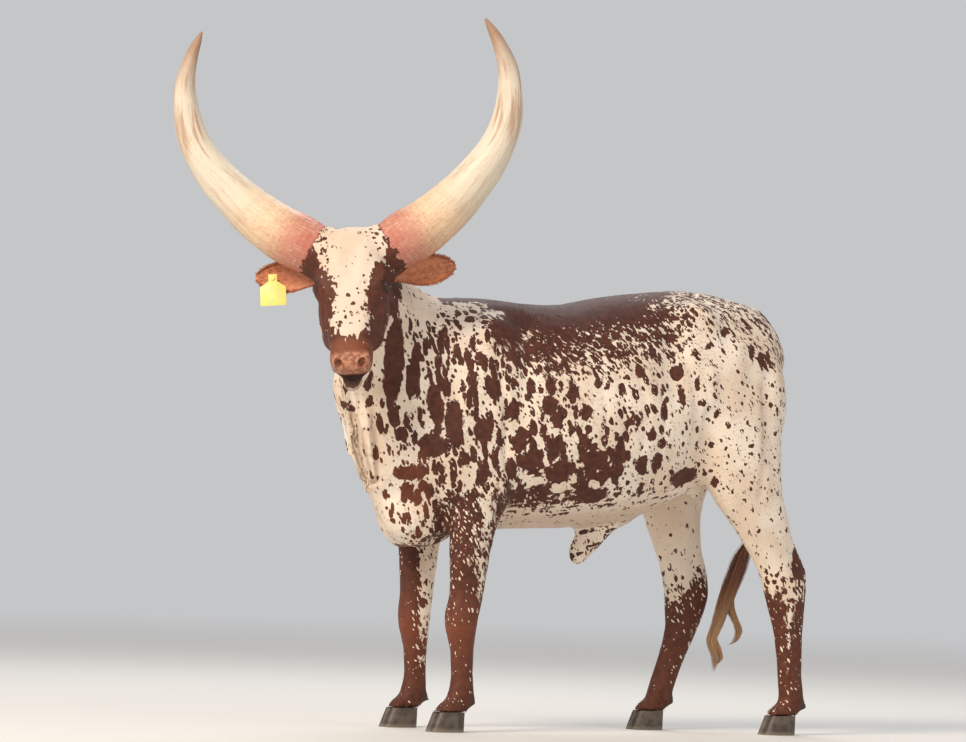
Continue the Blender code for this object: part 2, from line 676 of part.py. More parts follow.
def sculpt_body(clay):
    """Bones, muscles and folds of trunk and legs, as paths of (x, z) seen from the side."""
    on_body = 1 - head_weight(clay.points)
    height, aside = clay.points[:, 2], np.abs(clay.points[:, 1])
    low_middle = np.clip((0.100 - aside) / 0.03, 0, 1) * np.clip((height - 0.50) / 0.04, 0, 1)
    on_trunk = on_body * np.maximum(np.clip((height - 0.64) / 0.10, 0, 1), low_middle * 0.5)
    clay.relax(150, on_trunk)
    clay.relax(10, on_body)
    clay.relax(3)
    clay.refresh()
    frame = Matrix(((0, -1, 0, 0), (-1, 0, 0, 0), (0, 0, 1, 0), (0, 0, 0, 1))).inverted()
    for side in (LEFT, RIGHT):
        def line(path, reach, depth):
            clay.stroke(frame, [(-x, z) for x, z in path], reach, depth, side)
        # shoulder blade's edges, spine of the blade, and the hollow behind it
        line([(-0.330, 1.24), (-0.345, 1.05), (-0.385, 0.88)], 0.050, -0.012)
        line([(-0.440, 1.24), (-0.500, 1.05), (-0.560, 0.90)], 0.040, 0.008)
        line([(-0.580, 1.16), (-0.625, 1.00), (-0.665, 0.86)], 0.050, -0.010)
        line([(-0.640, 0.86), (-0.560, 0.80), (-0.470, 0.78)], 0.050, 0.008)
        # elbow, and the groove above the forearm
        line([(-0.400, 0.79), (-0.430, 0.72)], 0.035, 0.010)
        line([(-0.520, 0.70), (-0.470, 0.66), (-0.420, 0.68)], 0.035, -0.006)
        # ribs, flank hollow and flank fold
        for i in range(6):
            x = -0.270 + 0.062 * i
            line([(x, 1.16), (x + 0.040, 0.98), (x + 0.030, 0.80)], 0.016, 0.0022)
        line([(0.190, 1.24), (0.160, 1.14), (0.170, 1.06)], 0.062, -0.018)
        line([(0.240, 0.80), (0.290, 0.88), (0.300, 0.98)], 0.040, -0.014)
        line([(0.180, 0.78), (0.260, 0.84)], 0.035, 0.006)
        # hook bone, thigh muscles, and the groove at the back of the thigh
        line([(0.290, 1.31), (0.320, 1.26)], 0.038, 0.008)
        line([(0.420, 1.24), (0.400, 1.10), (0.370, 0.96)], 0.050, 0.006)
        line([(0.530, 1.16), (0.520, 1.00), (0.535, 0.84)], 0.032, -0.009)
        line([(0.380, 1.22), (0.460, 1.27), (0.540, 1.26)], 0.040, -0.006)
        # forearm and knee
        line([(-0.500, 0.62), (-0.500, 0.50)], 0.022, 0.004)
        line([(-0.462, 0.60), (-0.470, 0.46)], 0.012, -0.004)
        line([(-0.490, 0.29), (-0.488, 0.16)], 0.008, -0.0035)
    for x_line, side in (((0.578, 0.672, 0.646, 0.656), LEFT), ((0.430, 0.487, 0.398, 0.372), RIGHT)):
        thigh, heel, cannon, low = x_line
        hock = NEAR_HOCK_Z if side == LEFT else FAR_HOCK_Z

        def line(path, reach, depth):
            clay.stroke(frame, [(-x, z) for x, z in path], reach, depth, side, -2)
        # hollow in front of the heel tendon, heel bone, and tendon groove down the cannon
        line([(heel - 0.035, hock + 0.130), (heel - 0.022, hock + 0.040)], 0.026, -0.009)
        line([(heel + 0.020, hock + 0.030), (heel + 0.026, hock - 0.010)], 0.018, 0.004)
        line([(cannon + 0.020, 0.30), (low + 0.018, 0.17)], 0.008, -0.0035)
    clay.refresh()
    # loose vertical folds in front of the neck, seen from the front in (y, z)
    front = Matrix(((-1, 0, 0, 0), (0, 1, 0, 0), (0, 0, 1, 0), (0, 0, 0, 1)))
    for low, high, depth in ((-0.010, -0.128, 0.010), (-0.045, -0.150, -0.009), (0.022, -0.085, -0.008),
                             (-0.075, -0.168, 0.006)):
        path = [(high, 1.16), ((high + low) / 2 - 0.012, 0.98), (low, 0.80), (low * 0.8, 0.72)]
        clay.stroke(front, path, 0.014, depth, 1, 0.05)
    clay.refresh()
    # the cleft between the buttocks
    for z in np.arange(0.86, 1.20, 0.02):
        clay.press((0.656, 0, z), 0.035, -0.020)
    clay.refresh()


def sculpt_head(clay):
    """Bones and folds of the head, as paths of (out, along) seen from the side."""
    back = np.array(HEAD.inverted())
    local = clay.points @ back[:3, :3].T + back[:3, 3]
    crown = head_weight(clay.points) * np.clip((0.110 - local[:, 2]) / 0.05, 0, 1)
    clay.relax(30, crown)
    clay.refresh()
    for side in (LEFT, RIGHT):
        def line(path, reach, depth):
            clay.stroke(HEAD, path, reach, depth, side)
        # cheek ridge, hollow under it, jaw line, and the groove behind the jaw
        line([(-0.062, 0.235), (-0.075, 0.290), (-0.090, 0.330)], 0.010, 0.004)
        line([(-0.040, 0.260), (-0.045, 0.330)], 0.020, -0.006)
        line([(-0.110, 0.345), (-0.150, 0.290), (-0.188, 0.215)], 0.016, 0.004)
        line([(-0.180, 0.090), (-0.215, 0.130)], 0.025, -0.008)
        # hollow above the eye, and tear line below it
        line([(-0.052, 0.110), (-0.050, 0.140)], 0.020, -0.007)
        line([(-0.035, 0.225), (-0.040, 0.250)], 0.008, -0.003)
        # swollen lips above and below the mouth line
        line([(-0.080, 0.470), (-0.080, 0.430), (-0.078, 0.390)], 0.009, 0.003)
        line([(-0.116, 0.470), (-0.116, 0.430), (-0.110, 0.390)], 0.009, 0.002)
    clay.refresh()
    # dished nose bridge
    clay.press(HEAD @ Vector((0, -0.004, 0.330)), 0.060, -0.004)
    clay.press(HEAD @ Vector((0, -0.066, 0.488)), 0.009, -0.004)
    clay.refresh()


def thin(body):
    """Fewer faces, more of them left on the head."""
    apply(body, "TRIANGULATE")
    for on_head, target in ((False, BODY_FACES), (True, HEAD_FACES)):
        bpy.context.view_layer.objects.active = body
        bpy.ops.object.mode_set(mode="EDIT")
        work = bmesh.from_edit_mesh(body.data)
        points = np.array([face.calc_center_median() for face in work.faces])
        chosen = head_weight(points) > 0.5
        for face, pick in zip(work.faces, chosen):
            face.select_set(bool(pick) == on_head)
        bmesh.update_edit_mesh(body.data)
        bpy.ops.mesh.decimate(ratio=target / max(1, int((chosen == on_head).sum())))
        bpy.ops.object.mode_set(mode="OBJECT")
    largest_shell(body)


def block(low, high, frame=None):
    """A box between two corners, in the given frame."""
    work = bmesh.new()
    bmesh.ops.create_cube(work, size=1)
    low, high = Vector(low), Vector(high)
    bmesh.ops.transform(work, matrix=Matrix.Translation((low + high) / 2) @ Matrix.Diagonal((*(high - low), 1)),
                        verts=work.verts)
    mesh = bpy.data.meshes.new("block")
    work.to_mesh(mesh)
    work.free()
    made = bpy.data.objects.new("block", mesh)
    SHAPING.objects.link(made)
    if frame is not None:
        made.data.transform(frame)
    return made


def part_off(body, low, high, frame=None):
    """The flesh within a box, taken off the body, with the hairline gap between the two."""
    tool = block(low, high, frame)
    piece = copy_of(body, "piece")
    cut(piece, tool, keep_inside=True)
    room = grown(tool, GAP)
    cut(body, room)
    bpy.data.objects.remove(tool)
    bpy.data.objects.remove(room)
    return piece


def aim(origin, direction, up=(0, 0, 1)):
    """A frame at origin whose third axis points along direction."""
    along = Vector(direction).normalized()
    across = Vector(up).cross(along).normalized()
    return Matrix.Translation(origin) @ Matrix((across, along.cross(across), along)).transposed().to_4x4()


# Horns, eyes, ears, tail and tag
TAIL = [
    # centre and radius, from the dock down to where the long hair starts
    (0.520, 0.000, 1.318, 0.034),
    (0.578, 0.000, 1.308, 0.033),
    (0.630, -0.001, 1.264, 0.030),
    (0.656, -0.003, 1.190, 0.026),
    (0.666, -0.006, 1.090, 0.0225),
    (0.668, -0.008, 0.960, 0.0195),
    (0.668, -0.004, 0.840, 0.0175),
    (0.661, 0.006, 0.740, 0.0155),
    (0.644, 0.026, 0.665, 0.0135),
    (0.624, 0.048, 0.605, 0.0120),
]
SWITCH_CORE = [
    (0.624, 0.048, 0.6047, 0.0120),
    (0.605, 0.068, 0.550, 0.0145),
    (0.586, 0.086, 0.480, 0.0120),
    (0.572, 0.098, 0.420, 0.0060),
]


def tail_dock():
    return tube("tail", TAIL, (0, 1, 0), sides=10, steps=2)


def tail_switch():
    """The long hair at the tail's end: flat tapered locks that hang, bend and curl at their tips."""
    core = tube("tail_switch", SWITCH_CORE, (0, 1, 0), sides=10, steps=2)
    draw = random.Random(7)
    spine = smooth_rows(SWITCH_CORE, 4)
    locks = []
    for i in range(LOCK_COUNT):
        row = spine[int(len(spine) * (0.15 + 0.75 * (i % 8) / 8))]
        turn = i * 2.4
        away = Vector((math.cos(turn), math.sin(turn), 0))
        root = Vector(row[:3]) + away * row[3] * 0.35
        length = draw.uniform(0.20, 0.30) + 0.10 * (root.z - 0.45)
        sway = draw.uniform(-0.035, 0.055)
        curl = draw.uniform(0.008, 0.018)
        width = draw.uniform(0.0060, 0.0085)
        stations = []
        for step in range(7):
            share = step / 6
            drop = Vector((sway * share**1.5, 0.012 * share, -length * share))
            wave = away * (0.010 * math.sin(share * 2.2)) + Vector((curl, 0, 0)) * math.sin(share * 7 + turn) * share
            size = width * (1 - share**2.2) + 0.0010
            stations.append((*(root + drop + wave), size, size * 0.5, size * 0.5, 2, 2))
        locks.append(loft("lock", stations, tuple(away.cross(Vector((0, 0, 1)))), sides=4, steps=1))
    fuse(core, locks)
    return core


def ear_tag(side):
    """A moulded house-shaped tag in front of the ear, on a pin that goes through it to a button behind."""
    root = Vector((EAR_ROOT[0] * side, EAR_ROOT[1], EAR_ROOT[2]))
    spot = HEAD @ (root + Vector((0.150 * side, -0.006, -0.016)))
    frame = CROWN.copy()
    frame.translation = spot
    plate = outline_plate("ear_tag", [
        (-0.039, -0.083), (0.039, -0.083), (0.039, -0.027), (0.013, -0.010),
        (0.013, 0.011), (-0.013, 0.011), (-0.013, -0.010), (-0.039, -0.027),
    ], 0.0022, frame @ Matrix.Translation((0, 0.0245, 0)))
    pin = round_bar("pin", 0.0042, -0.026, 0.0240, frame)
    button = round_bar("button", 0.0110, -0.0265, -0.0235, frame)
    cap = round_bar("cap", 0.0070, 0.0240, 0.0285, frame)
    fuse(plate, [pin, button, cap])
    return plate


def round_bar(name, radius, back, front, frame):
    """A short cylinder along the frame's second axis."""
    work = bmesh.new()
    bmesh.ops.create_cone(work, cap_ends=True, segments=12, radius1=radius, radius2=radius, depth=front - back)
    mesh = bpy.data.meshes.new(name)
    work.to_mesh(mesh)
    work.free()
    made = bpy.data.objects.new(name, mesh)
    SHAPING.objects.link(made)
    lay = Matrix.Translation((0, (front + back) / 2, 0)) @ Matrix.Rotation(math.radians(90), 4, "X")
    return place(made, frame @ lay)


def horn(side):
    """A lyre-shaped horn: out and up from the boss, then in at the tip. Stations are (left, up, forward, radius)."""
    stations = [
        (0.100, -0.078, -0.076, 0.072),
        (0.134, -0.056, -0.077, 0.0805),
        (0.172, -0.034, -0.080, 0.083),
        (0.216, -0.009, -0.085, 0.0815),
        (0.285, 0.044, -0.092, 0.0735),
        (0.349, 0.106, -0.097, 0.0655),
        (0.409, 0.175, -0.098, 0.0580),
        (0.4535, 0.248, -0.094, 0.0500),
        (0.478, 0.319, -0.086, 0.0430),
        (0.486, 0.400, -0.073, 0.0355),
        (0.481, 0.462, -0.061, 0.0285),
        (0.457, 0.532, -0.046, 0.0190),
        (0.437, 0.572, -0.037, 0.0110),
        (0.424, 0.597, -0.031, 0.0030),
    ]
    rows = [(left * side, forward, up, radius) for left, up, forward, radius in stations]
    return place(tube("horn", rows, (0, 1, 0), sides=12, steps=2), CROWN)


def eye(side):
    work = bmesh.new()
    bmesh.ops.create_icosphere(work, subdivisions=3, radius=EYE_RADIUS)
    mesh = bpy.data.meshes.new("eye")
    work.to_mesh(mesh)
    work.free()
    made = bpy.data.objects.new("eye", mesh)
    SHAPING.objects.link(made)
    spot = Vector((EYE_PLACE[0] * side, EYE_PLACE[1], EYE_PLACE[2]))
    return place(made, HEAD @ Matrix.Translation(spot))


def ear(side):
    """A leaf-shaped ear whose cup opens forward and down, from a solid root to a thin tip."""
    root = Vector((EAR_ROOT[0] * side, EAR_ROOT[1], EAR_ROOT[2]))
    rise = 0.16 if side == LEFT else 0.11
    along = Vector((0.97 * side, -0.02, -rise)).normalized()
    open_way = Vector((0.05 * side, 0.94, 0.36))
    open_way = (open_way - along * open_way.dot(along)).normalized()
    width = along.cross(open_way)
    profile = [
        # share of the length, half width, wall, depth of the cup
        (0.00, 0.017, 0.014, 0.000),
        (0.12, 0.021, 0.012, 0.004),
        (0.25, 0.032, 0.008, 0.014),
        (0.40, 0.042, 0.0055, 0.020),
        (0.55, 0.0455, 0.0045, 0.021),
        (0.70, 0.041, 0.0038, 0.018),
        (0.84, 0.029, 0.0032, 0.012),
        (0.94, 0.015, 0.0028, 0.006),
        (1.00, 0.004, 0.0022, 0.001),
    ]
    across = 7
    points, faces = [], []
    rows = smooth_rows(profile, 1)
    for share, half, wall, cup in rows:
        centre = root + along * (0.018 + share * EAR_LENGTH) - open_way * share**2 * 0.012
        for face_side in (1, -1):
            for j in range(across):
                u = (2 * j / (across - 1) - 1) * face_side
                lift = cup * (u * u - 0.6) + wall * face_side * math.sqrt(max(0.02, 1 - u * u * 0.96))
                points.append(centre + width * half * u + open_way * lift)
    ring_size = 2 * across
    for i in range(len(rows) - 1):
        for j in range(ring_size):
            k = (j + 1) % ring_size
            a, b = i * ring_size + j, i * ring_size + k
            c, d = a + ring_size, b + ring_size
            faces += [(a, b, d), (a, d, c)]
    faces.append(tuple(range(ring_size)))
    faces.append(tuple(range((len(rows) - 1) * ring_size, len(rows) * ring_size)))
    return place(object_from("ear", points, faces), HEAD)


def outline_plate(name, corners, thickness, frame):
    """A flat plate cut to an outline."""
    half = thickness / 2
    points = [(x, -half, z) for x, z in corners] + [(x, half, z) for x, z in corners]
    count = len(corners)
    faces = [tuple(range(count)), tuple(reversed(range(count, 2 * count)))]
    for i in range(count):
        faces.append((i, (i + 1) % count, count + (i + 1) % count, count + i))
    return place(object_from(name, points, faces), frame)


def hoof(x, y, side, name):
    """Two claws with a cleft between them, on flat soles."""
    made = []
    slab = block((-2, -1, 0), (2, 1, HOOF_TOP))
    for offset in (-1, 1):
        rows = []
        for z in (-0.020, 0.010, 0.035, 0.080):
            share = z / HOOF_TOP
            rows.append((x - 0.044 + 0.008 * share, y + offset * (0.0215 - 0.001 * share), z,
                         0.0205 - 0.0015 * share, 0.056 - 0.016 * share, 0.048 - 0.006 * share, 2.0, 2.6))
        claw = loft(name + ("_inner" if offset * side > 0 else "_outer"), rows, (-1, 0, 0), sides=18, steps=1)
        cut(claw, slab, keep_inside=True)
        made.append(claw)
    bpy.data.objects.remove(slab)
    return made


def build():
    body = flesh()
    thin(body)

    horns = both_sides(horn)
    eyes = both_sides(eye)
    ears = both_sides(ear)
    fuse(body, both_sides(lids))
    for hollow in both_sides(lid_opening) + both_sides(nostril) + [mouth(body)]:
        cut(body, hollow)
        bpy.data.objects.remove(hollow)
    for piece in horns + eyes + ears:
        seat(body, piece)

    floor_tool = block((-2, -1, -0.1), (2, 1, HOOF_TOP + GAP))
    cut(body, floor_tool)
    bpy.data.objects.remove(floor_tool)

    for piece, carrier in zip(ears, horns):
        seat(piece, carrier)
    tag = ear_tag(RIGHT)
    seat(ears[1], tag)
    tail = tail_dock()
    seat(body, tail)

    legs = {
        "fore_leg_left": ((-0.60, -0.32, 0.0), (-0.38, -0.080, 0.585)),
        "fore_leg_right": ((-0.60, 0.080, 0.0), (-0.38, 0.32, 0.585)),
        "hind_leg_left": ((0.258, -0.32, 0.0), (0.90, -0.012, 0.730)),
        "hind_leg_right": ((0.258, 0.012, 0.0), (0.90, 0.32, 0.730)),
    }
    for name, (low, high) in legs.items():
        finish(part_off(body, low, high), name, "coat")
    finish(part_off(body, (-0.14, -0.09, 0.40), (0.13, 0.09, 0.606)), "sheath", "coat")
    throat = aim((-0.878, -0.122, 1.330), (-0.52, -0.62, 0.35))
    finish(part_off(body, (-0.5, -1.0, 0.0), (0.5, 0.6, 0.9), throat), "head", "coat")
    shoulder = aim((-0.640, 0.0, 1.000), (-0.93, 0.0, 0.36))
    finish(part_off(body, (-0.5, -0.9, 0.0), (0.5, 0.9, 0.9), shoulder), "neck", "coat")
    finish(body, "torso", "coat")

    for piece, name in zip(horns, ("horn_left", "horn_right")):
        finish(piece, name, "horn")
    for piece, name in zip(eyes, ("eye_left", "eye_right")):
        finish(piece, name, "eye")
    for piece, name in zip(ears, ("ear_left", "ear_right")):
        finish(piece, name, "ear")
    finish(tag, "ear_tag", "tag")
    switch = tail_switch()
    seat(switch, tail)
    finish(switch, "tail_switch", "switch")
    finish(tail, "tail", "coat")
    for x, side, name in ((FORE_HOOF_X, LEFT, "fore_hoof_left"), (FORE_HOOF_X, RIGHT, "fore_hoof_right"),
                          (NEAR_HIND_X, LEFT, "hind_hoof_left"), (FAR_HIND_X, RIGHT, "hind_hoof_right")):
        track = FORE_TRACK if x < 0 else HIND_TRACK
        for claw in hoof(x, -side * track, side, name):
            finish(claw, claw.name, "hoof")


def centre_on_floor():
    """The origin goes to the middle of the animal's box, at the level of its soles."""
    corners = [Vector(corner) for obj in ANIMAL.objects for corner in obj.bound_box]
    shift = [-(min(c[axis] for c in corners) + max(c[axis] for c in corners)) / 2 for axis in (0, 1)]
    for obj in ANIMAL.objects:
        obj.data.transform(Matrix.Translation((*shift, 0)))


build()
centre_on_floor()
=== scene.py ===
"""A young Ankole-Watusi bull as a still, life-size model on its own feet: skin, coat, horns, eyes and tag."""

import math

import bmesh
import bpy
import numpy as np
from mathutils import Matrix, Vector


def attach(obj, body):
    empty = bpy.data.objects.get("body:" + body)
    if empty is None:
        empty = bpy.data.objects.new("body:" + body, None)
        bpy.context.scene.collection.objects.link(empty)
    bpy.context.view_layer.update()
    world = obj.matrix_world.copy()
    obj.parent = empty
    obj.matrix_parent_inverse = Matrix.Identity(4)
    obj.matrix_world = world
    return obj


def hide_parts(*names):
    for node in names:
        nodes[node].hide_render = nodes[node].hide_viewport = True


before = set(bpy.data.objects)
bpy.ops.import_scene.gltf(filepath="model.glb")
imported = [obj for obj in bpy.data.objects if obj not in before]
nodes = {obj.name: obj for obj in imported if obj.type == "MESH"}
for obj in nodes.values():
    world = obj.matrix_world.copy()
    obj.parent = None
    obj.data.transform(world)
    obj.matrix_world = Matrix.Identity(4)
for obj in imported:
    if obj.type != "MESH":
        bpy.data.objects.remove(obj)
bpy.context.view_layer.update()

# Studio: a plain pale floor, a pale surround and three large soft lights. The camera stands low, in front
# of the animal's left shoulder, and leans a little, as the picture does.
VIEW_TURN = math.radians(-28)
VIEW_DISTANCE = 14.0
VIEW_HEIGHT = 0.55
VIEW_LEAN = math.radians(1.75)
VIEW_WIDTH = 2.988
VIEW_CENTRE = Vector((0.0343, 0.2303, 1.102))
SENSOR = 36.0
SURROUND = (0.56, 0.565, 0.575)
FLOOR_TONE, FLOOR_RADIUS = (0.70, 0.685, 0.66), 150
FLOOR_FADE = (3.0, 22.0)
LIGHT_AIM = Vector((-0.1, 0, 1.0))
LIGHTS = [
    # name, turn and lift in degrees, distance, size, power and colour
    ("key", -64, 34, 13.0, 4.4, 1520, (1.0, 0.87, 0.72)),
    ("fill", 18, 22, 8.0, 4.0, 80, (1.0, 0.93, 0.85)),
    ("rim", 150, 48, 7.0, 3.0, 160, (0.95, 0.97, 1.0)),
]


class Paint:
    """A material under construction: nodes are added by kind and wired by name."""

    def __init__(self, name, roughness=0.6):
        self.material = bpy.data.materials.new(name)
        self.material.use_nodes = True
        self.tree = self.material.node_tree
        self.shader = self.tree.nodes["Principled BSDF"]
        self.set(self.shader, "Roughness", roughness)
        self.place = self.add("ShaderNodeTexCoord").outputs["Object"]

    def add(self, kind, **settings):
        node = self.tree.nodes.new(kind)
        for key, value in settings.items():
            setattr(node, key, value)
        return node

    def set(self, node, socket, value):
        """Wires a socket of another node in, or sets a plain value."""
        target = node.inputs[socket]
        if isinstance(value, bpy.types.NodeSocket):
            self.tree.links.new(value, target)
        elif hasattr(value, "__len__") and len(value) == 3 and target.type == "RGBA":
            target.default_value = (*value, 1)
        else:
            target.default_value = value

    def math(self, operation, a, b=0.0, c=0.0):
        node = self.add("ShaderNodeMath", operation=operation)
        for i, value in enumerate((a, b, c)):
            self.set(node, i, value)
        return node.outputs[0]

    def times(self, a, b):
        return self.math("MULTIPLY", a, b)

    def scaled(self, value, factor, offset):
        return self.math("MULTIPLY_ADD", value, factor, offset)

    def noise(self, scale, detail, roughness=0.5, where=None, kind="Fac"):
        node = self.add("ShaderNodeTexNoise")
        self.set(node, "Vector", self.place if where is None else where)
        self.set(node, "Scale", scale)
        self.set(node, "Detail", detail)
        self.set(node, "Roughness", roughness)
        return node.outputs[kind]

    def cells(self, where):
        """Cells one unit wide: how far it is to the cell's middle, and a colour for each cell."""
        node = self.add("ShaderNodeTexVoronoi")
        self.set(node, "Vector", where)
        self.set(node, "Scale", 1.0)
        return node.outputs["Distance"], node.outputs["Color"]

    def stretch(self, size, where=None, turn=(0, 0, 0)):
        """Places measured in cells of this size, on axes turned by this much."""
        node = self.add("ShaderNodeMapping", vector_type="TEXTURE")
        self.set(node, "Vector", self.place if where is None else where)
        node.inputs["Scale"].default_value = size
        node.inputs["Rotation"].default_value = turn
        return node.outputs[0]

    def grain(self, size, detail, roughness=0.5, where=None, turn=(0, 0, 0), kind="Fac"):
        """Noise with blots of this size, on axes turned by this much."""
        return self.noise(1.0, detail, roughness, self.stretch(size, where, turn), kind)

    def ramp(self, value, low, high, start=0.0, end=1.0):
        """A smooth step of value from low to high, between start and end."""
        node = self.add("ShaderNodeMapRange", interpolation_type="SMOOTHSTEP")
        for socket, number in (("Value", value), ("From Min", low), ("From Max", high),
                               ("To Min", start), ("To Max", end)):
            self.set(node, socket, number)
        return node.outputs[0]

    def mix(self, share, a, b, blend="MIX"):
        node = self.add("ShaderNodeMix", data_type="RGBA", blend_type=blend)
        self.set(node, 0, share)
        self.set(node, 6, a)
        self.set(node, 7, b)
        return node.outputs[2]

    def height(self):
        node = self.add("ShaderNodeSeparateXYZ")
        self.set(node, 0, self.place)
        return node.outputs[2]

    def attribute(self, name):
        return self.add("ShaderNodeAttribute", attribute_name=name).outputs["Vector"]

    def split(self, name):
        """The four numbers that a colour attribute carries."""
        node = self.add("ShaderNodeAttribute", attribute_name=name)
        parts = self.add("ShaderNodeSeparateColor")
        self.set(parts, 0, node.outputs["Color"])
        return [parts.outputs[0], parts.outputs[1], parts.outputs[2], node.outputs["Alpha"]]

    def bump(self, height, distance, under=None):
        node = self.add("ShaderNodeBump")
        self.set(node, "Height", height)
        self.set(node, "Distance", distance)
        self.set(node, "Strength", 1.0)
        if under is not None:
            self.set(node, "Normal", under)
        return node.outputs[0]


def set_up_studio():
    right = Vector((math.cos(VIEW_TURN), math.sin(VIEW_TURN), 0))
    back = Vector((math.sin(VIEW_TURN), -math.cos(VIEW_TURN), 0))
    up = Vector((0, 0, 1))
    spot = VIEW_CENTRE + back * VIEW_DISTANCE
    spot.z = VIEW_HEIGHT
    look_back = (spot - VIEW_CENTRE).normalized()
    look_up = look_back.cross(right).normalized()
    leaning_right = right * math.cos(VIEW_LEAN) + look_up * math.sin(VIEW_LEAN)
    leaning_up = look_back.cross(leaning_right)
    lens = bpy.data.cameras.new("camera")
    lens.sensor_width = SENSOR
    lens.lens = SENSOR * VIEW_DISTANCE / VIEW_WIDTH
    lens.clip_end = 500
    camera = bpy.data.objects.new("camera", lens)
    camera.matrix_world = (Matrix.Translation(spot)
                           @ Matrix((leaning_right, leaning_up, look_back)).transposed().to_4x4())
    bpy.context.scene.collection.objects.link(camera)
    bpy.context.scene.camera = camera

    bpy.context.scene.view_settings.view_transform = "Standard"
    bpy.ops.mesh.primitive_circle_add(vertices=96, radius=FLOOR_RADIUS, fill_type="NGON")
    floor = bpy.context.active_object
    floor.name = "floor"
    paint = Paint("floor_paint", 0.85)
    paint.set(paint.shader, "Base Color", FLOOR_TONE)
    # far from the animal the floor passes into the surround, so that no edge shows
    glow = paint.add("ShaderNodeEmission")
    paint.set(glow, "Color", SURROUND)
    blend = paint.add("ShaderNodeMixShader")
    length = paint.add("ShaderNodeVectorMath", operation="LENGTH")
    paint.set(length, 0, paint.place)
    paint.set(blend, 0, paint.ramp(length.outputs["Value"], *FLOOR_FADE))
    paint.set(blend, 1, paint.shader.outputs[0])
    paint.set(blend, 2, glow.outputs[0])
    output = paint.tree.nodes["Material Output"]
    paint.set(output, "Surface", blend.outputs[0])
    floor.data.materials.append(paint.material)

    world = bpy.data.worlds.new("surround")
    bpy.context.scene.world = world
    world.use_nodes = True
    backdrop = world.node_tree.nodes["Background"]
    backdrop.inputs["Color"].default_value = (*SURROUND, 1)
    backdrop.inputs["Strength"].default_value = 1.0

    for name, turn, lift, distance, size, power, colour in LIGHTS:
        lamp = bpy.data.lights.new(name, "AREA")
        lamp.size = size
        lamp.energy = power
        lamp.color = colour
        light = bpy.data.objects.new(name, lamp)
        turn, lift = math.radians(turn), math.radians(lift)
        way = Vector((math.sin(turn) * math.cos(lift), -math.cos(turn) * math.cos(lift), math.sin(lift)))
        light.location = LIGHT_AIM + way * distance
        light.rotation_euler = way.to_track_quat("Z", "Y").to_euler()
        bpy.context.scene.collection.objects.link(light)


set_up_studio()

# Skin: one hide over the whole animal, from lips to tail. It is made from the flesh nodes, melted together,
# evened out, worked with strokes for folds, lids, nostrils and lips, and drawn in by the depth of the coat.
FLESH = ("head", "neck", "torso", "fore_leg_left", "fore_leg_right", "hind_leg_left", "hind_leg_right",
         "sheath", "tail")
MELT = 0.0106
COAT_DEPTH = 0.0015
ROUNDS_BODY, ROUNDS_ALL, ROUNDS_HEAD = 30, 7, 4
BODY_CENTRE = Vector((0.3282, 0.0738, 0))
POLL = BODY_CENTRE + Vector((-0.945, -0.200, 1.500))
HEAD_YAW, HEAD_PITCH, HEAD_ROLL = math.radians(58), math.radians(65), math.radians(4)
EYE_RADIUS = 0.020
EYE_PLACE = (0.094, -0.046, 0.187)
LEFT, RIGHT = 1, -1


def head_axes(along_crown=False):
    """Left, out and down the face, or for the horns left, forward and up, as columns placed at the poll."""
    forward = Vector((-math.cos(HEAD_YAW), -math.sin(HEAD_YAW), 0))
    up = Vector((0, 0, 1))
    left = up.cross(forward)
    down_face = forward * math.cos(HEAD_PITCH) - up * math.sin(HEAD_PITCH)
    out_of_face = forward * math.sin(HEAD_PITCH) + up * math.cos(HEAD_PITCH)
    columns = (left, forward, up) if along_crown else (left, out_of_face, down_face)
    turn = Matrix.Rotation(HEAD_ROLL, 3, forward)
    return Matrix.Translation(POLL) @ (turn @ Matrix(columns).transposed()).to_4x4()


HEAD = head_axes()


def placed(points, axes):
    turn = np.array(axes)
    return points @ turn[:3, :3].T + turn[:3, 3]


def in_frame(points, axes):
    return placed(points, axes.inverted())


def step(values, low, high):
    """0 below low, 1 above high, smooth between. With low above high it falls instead."""
    share = np.clip((values - low) / (high - low), 0, 1)
    return share * share * (3 - 2 * share)


def smooth_line(points, steps=8):
    """Points that run smoothly through the given ones."""
    rows = np.array(points, float)
    padded = np.vstack([2 * rows[0] - rows[1], rows, 2 * rows[-1] - rows[-2]])
    out = []
    for a, b, c, d in zip(padded, padded[1:], padded[2:], padded[3:]):
        for t in np.arange(steps) / steps:
            bend = (2 * a - 5 * b + 4 * c - d) * t**2 + (3 * b - a - 3 * c + d) * t**3
            out.append(0.5 * (2 * b + (c - a) * t + bend))
    out.append(rows[-1])
    return np.array(out)


def gap_to_line(points, line):
    """How far each point is from a line of points, in as many dimensions as the line has."""
    line = smooth_line(line) if len(line) > 2 else np.array(line, float)
    nearest = np.full(len(points), 1e9)
    for a, b in zip(line, line[1:]):
        span = b - a
        share = np.clip(((points - a) @ span) / (span @ span), 0, 1)
        nearest = np.minimum(nearest, np.linalg.norm(points - (a + share[:, None] * span), axis=1))
    return nearest


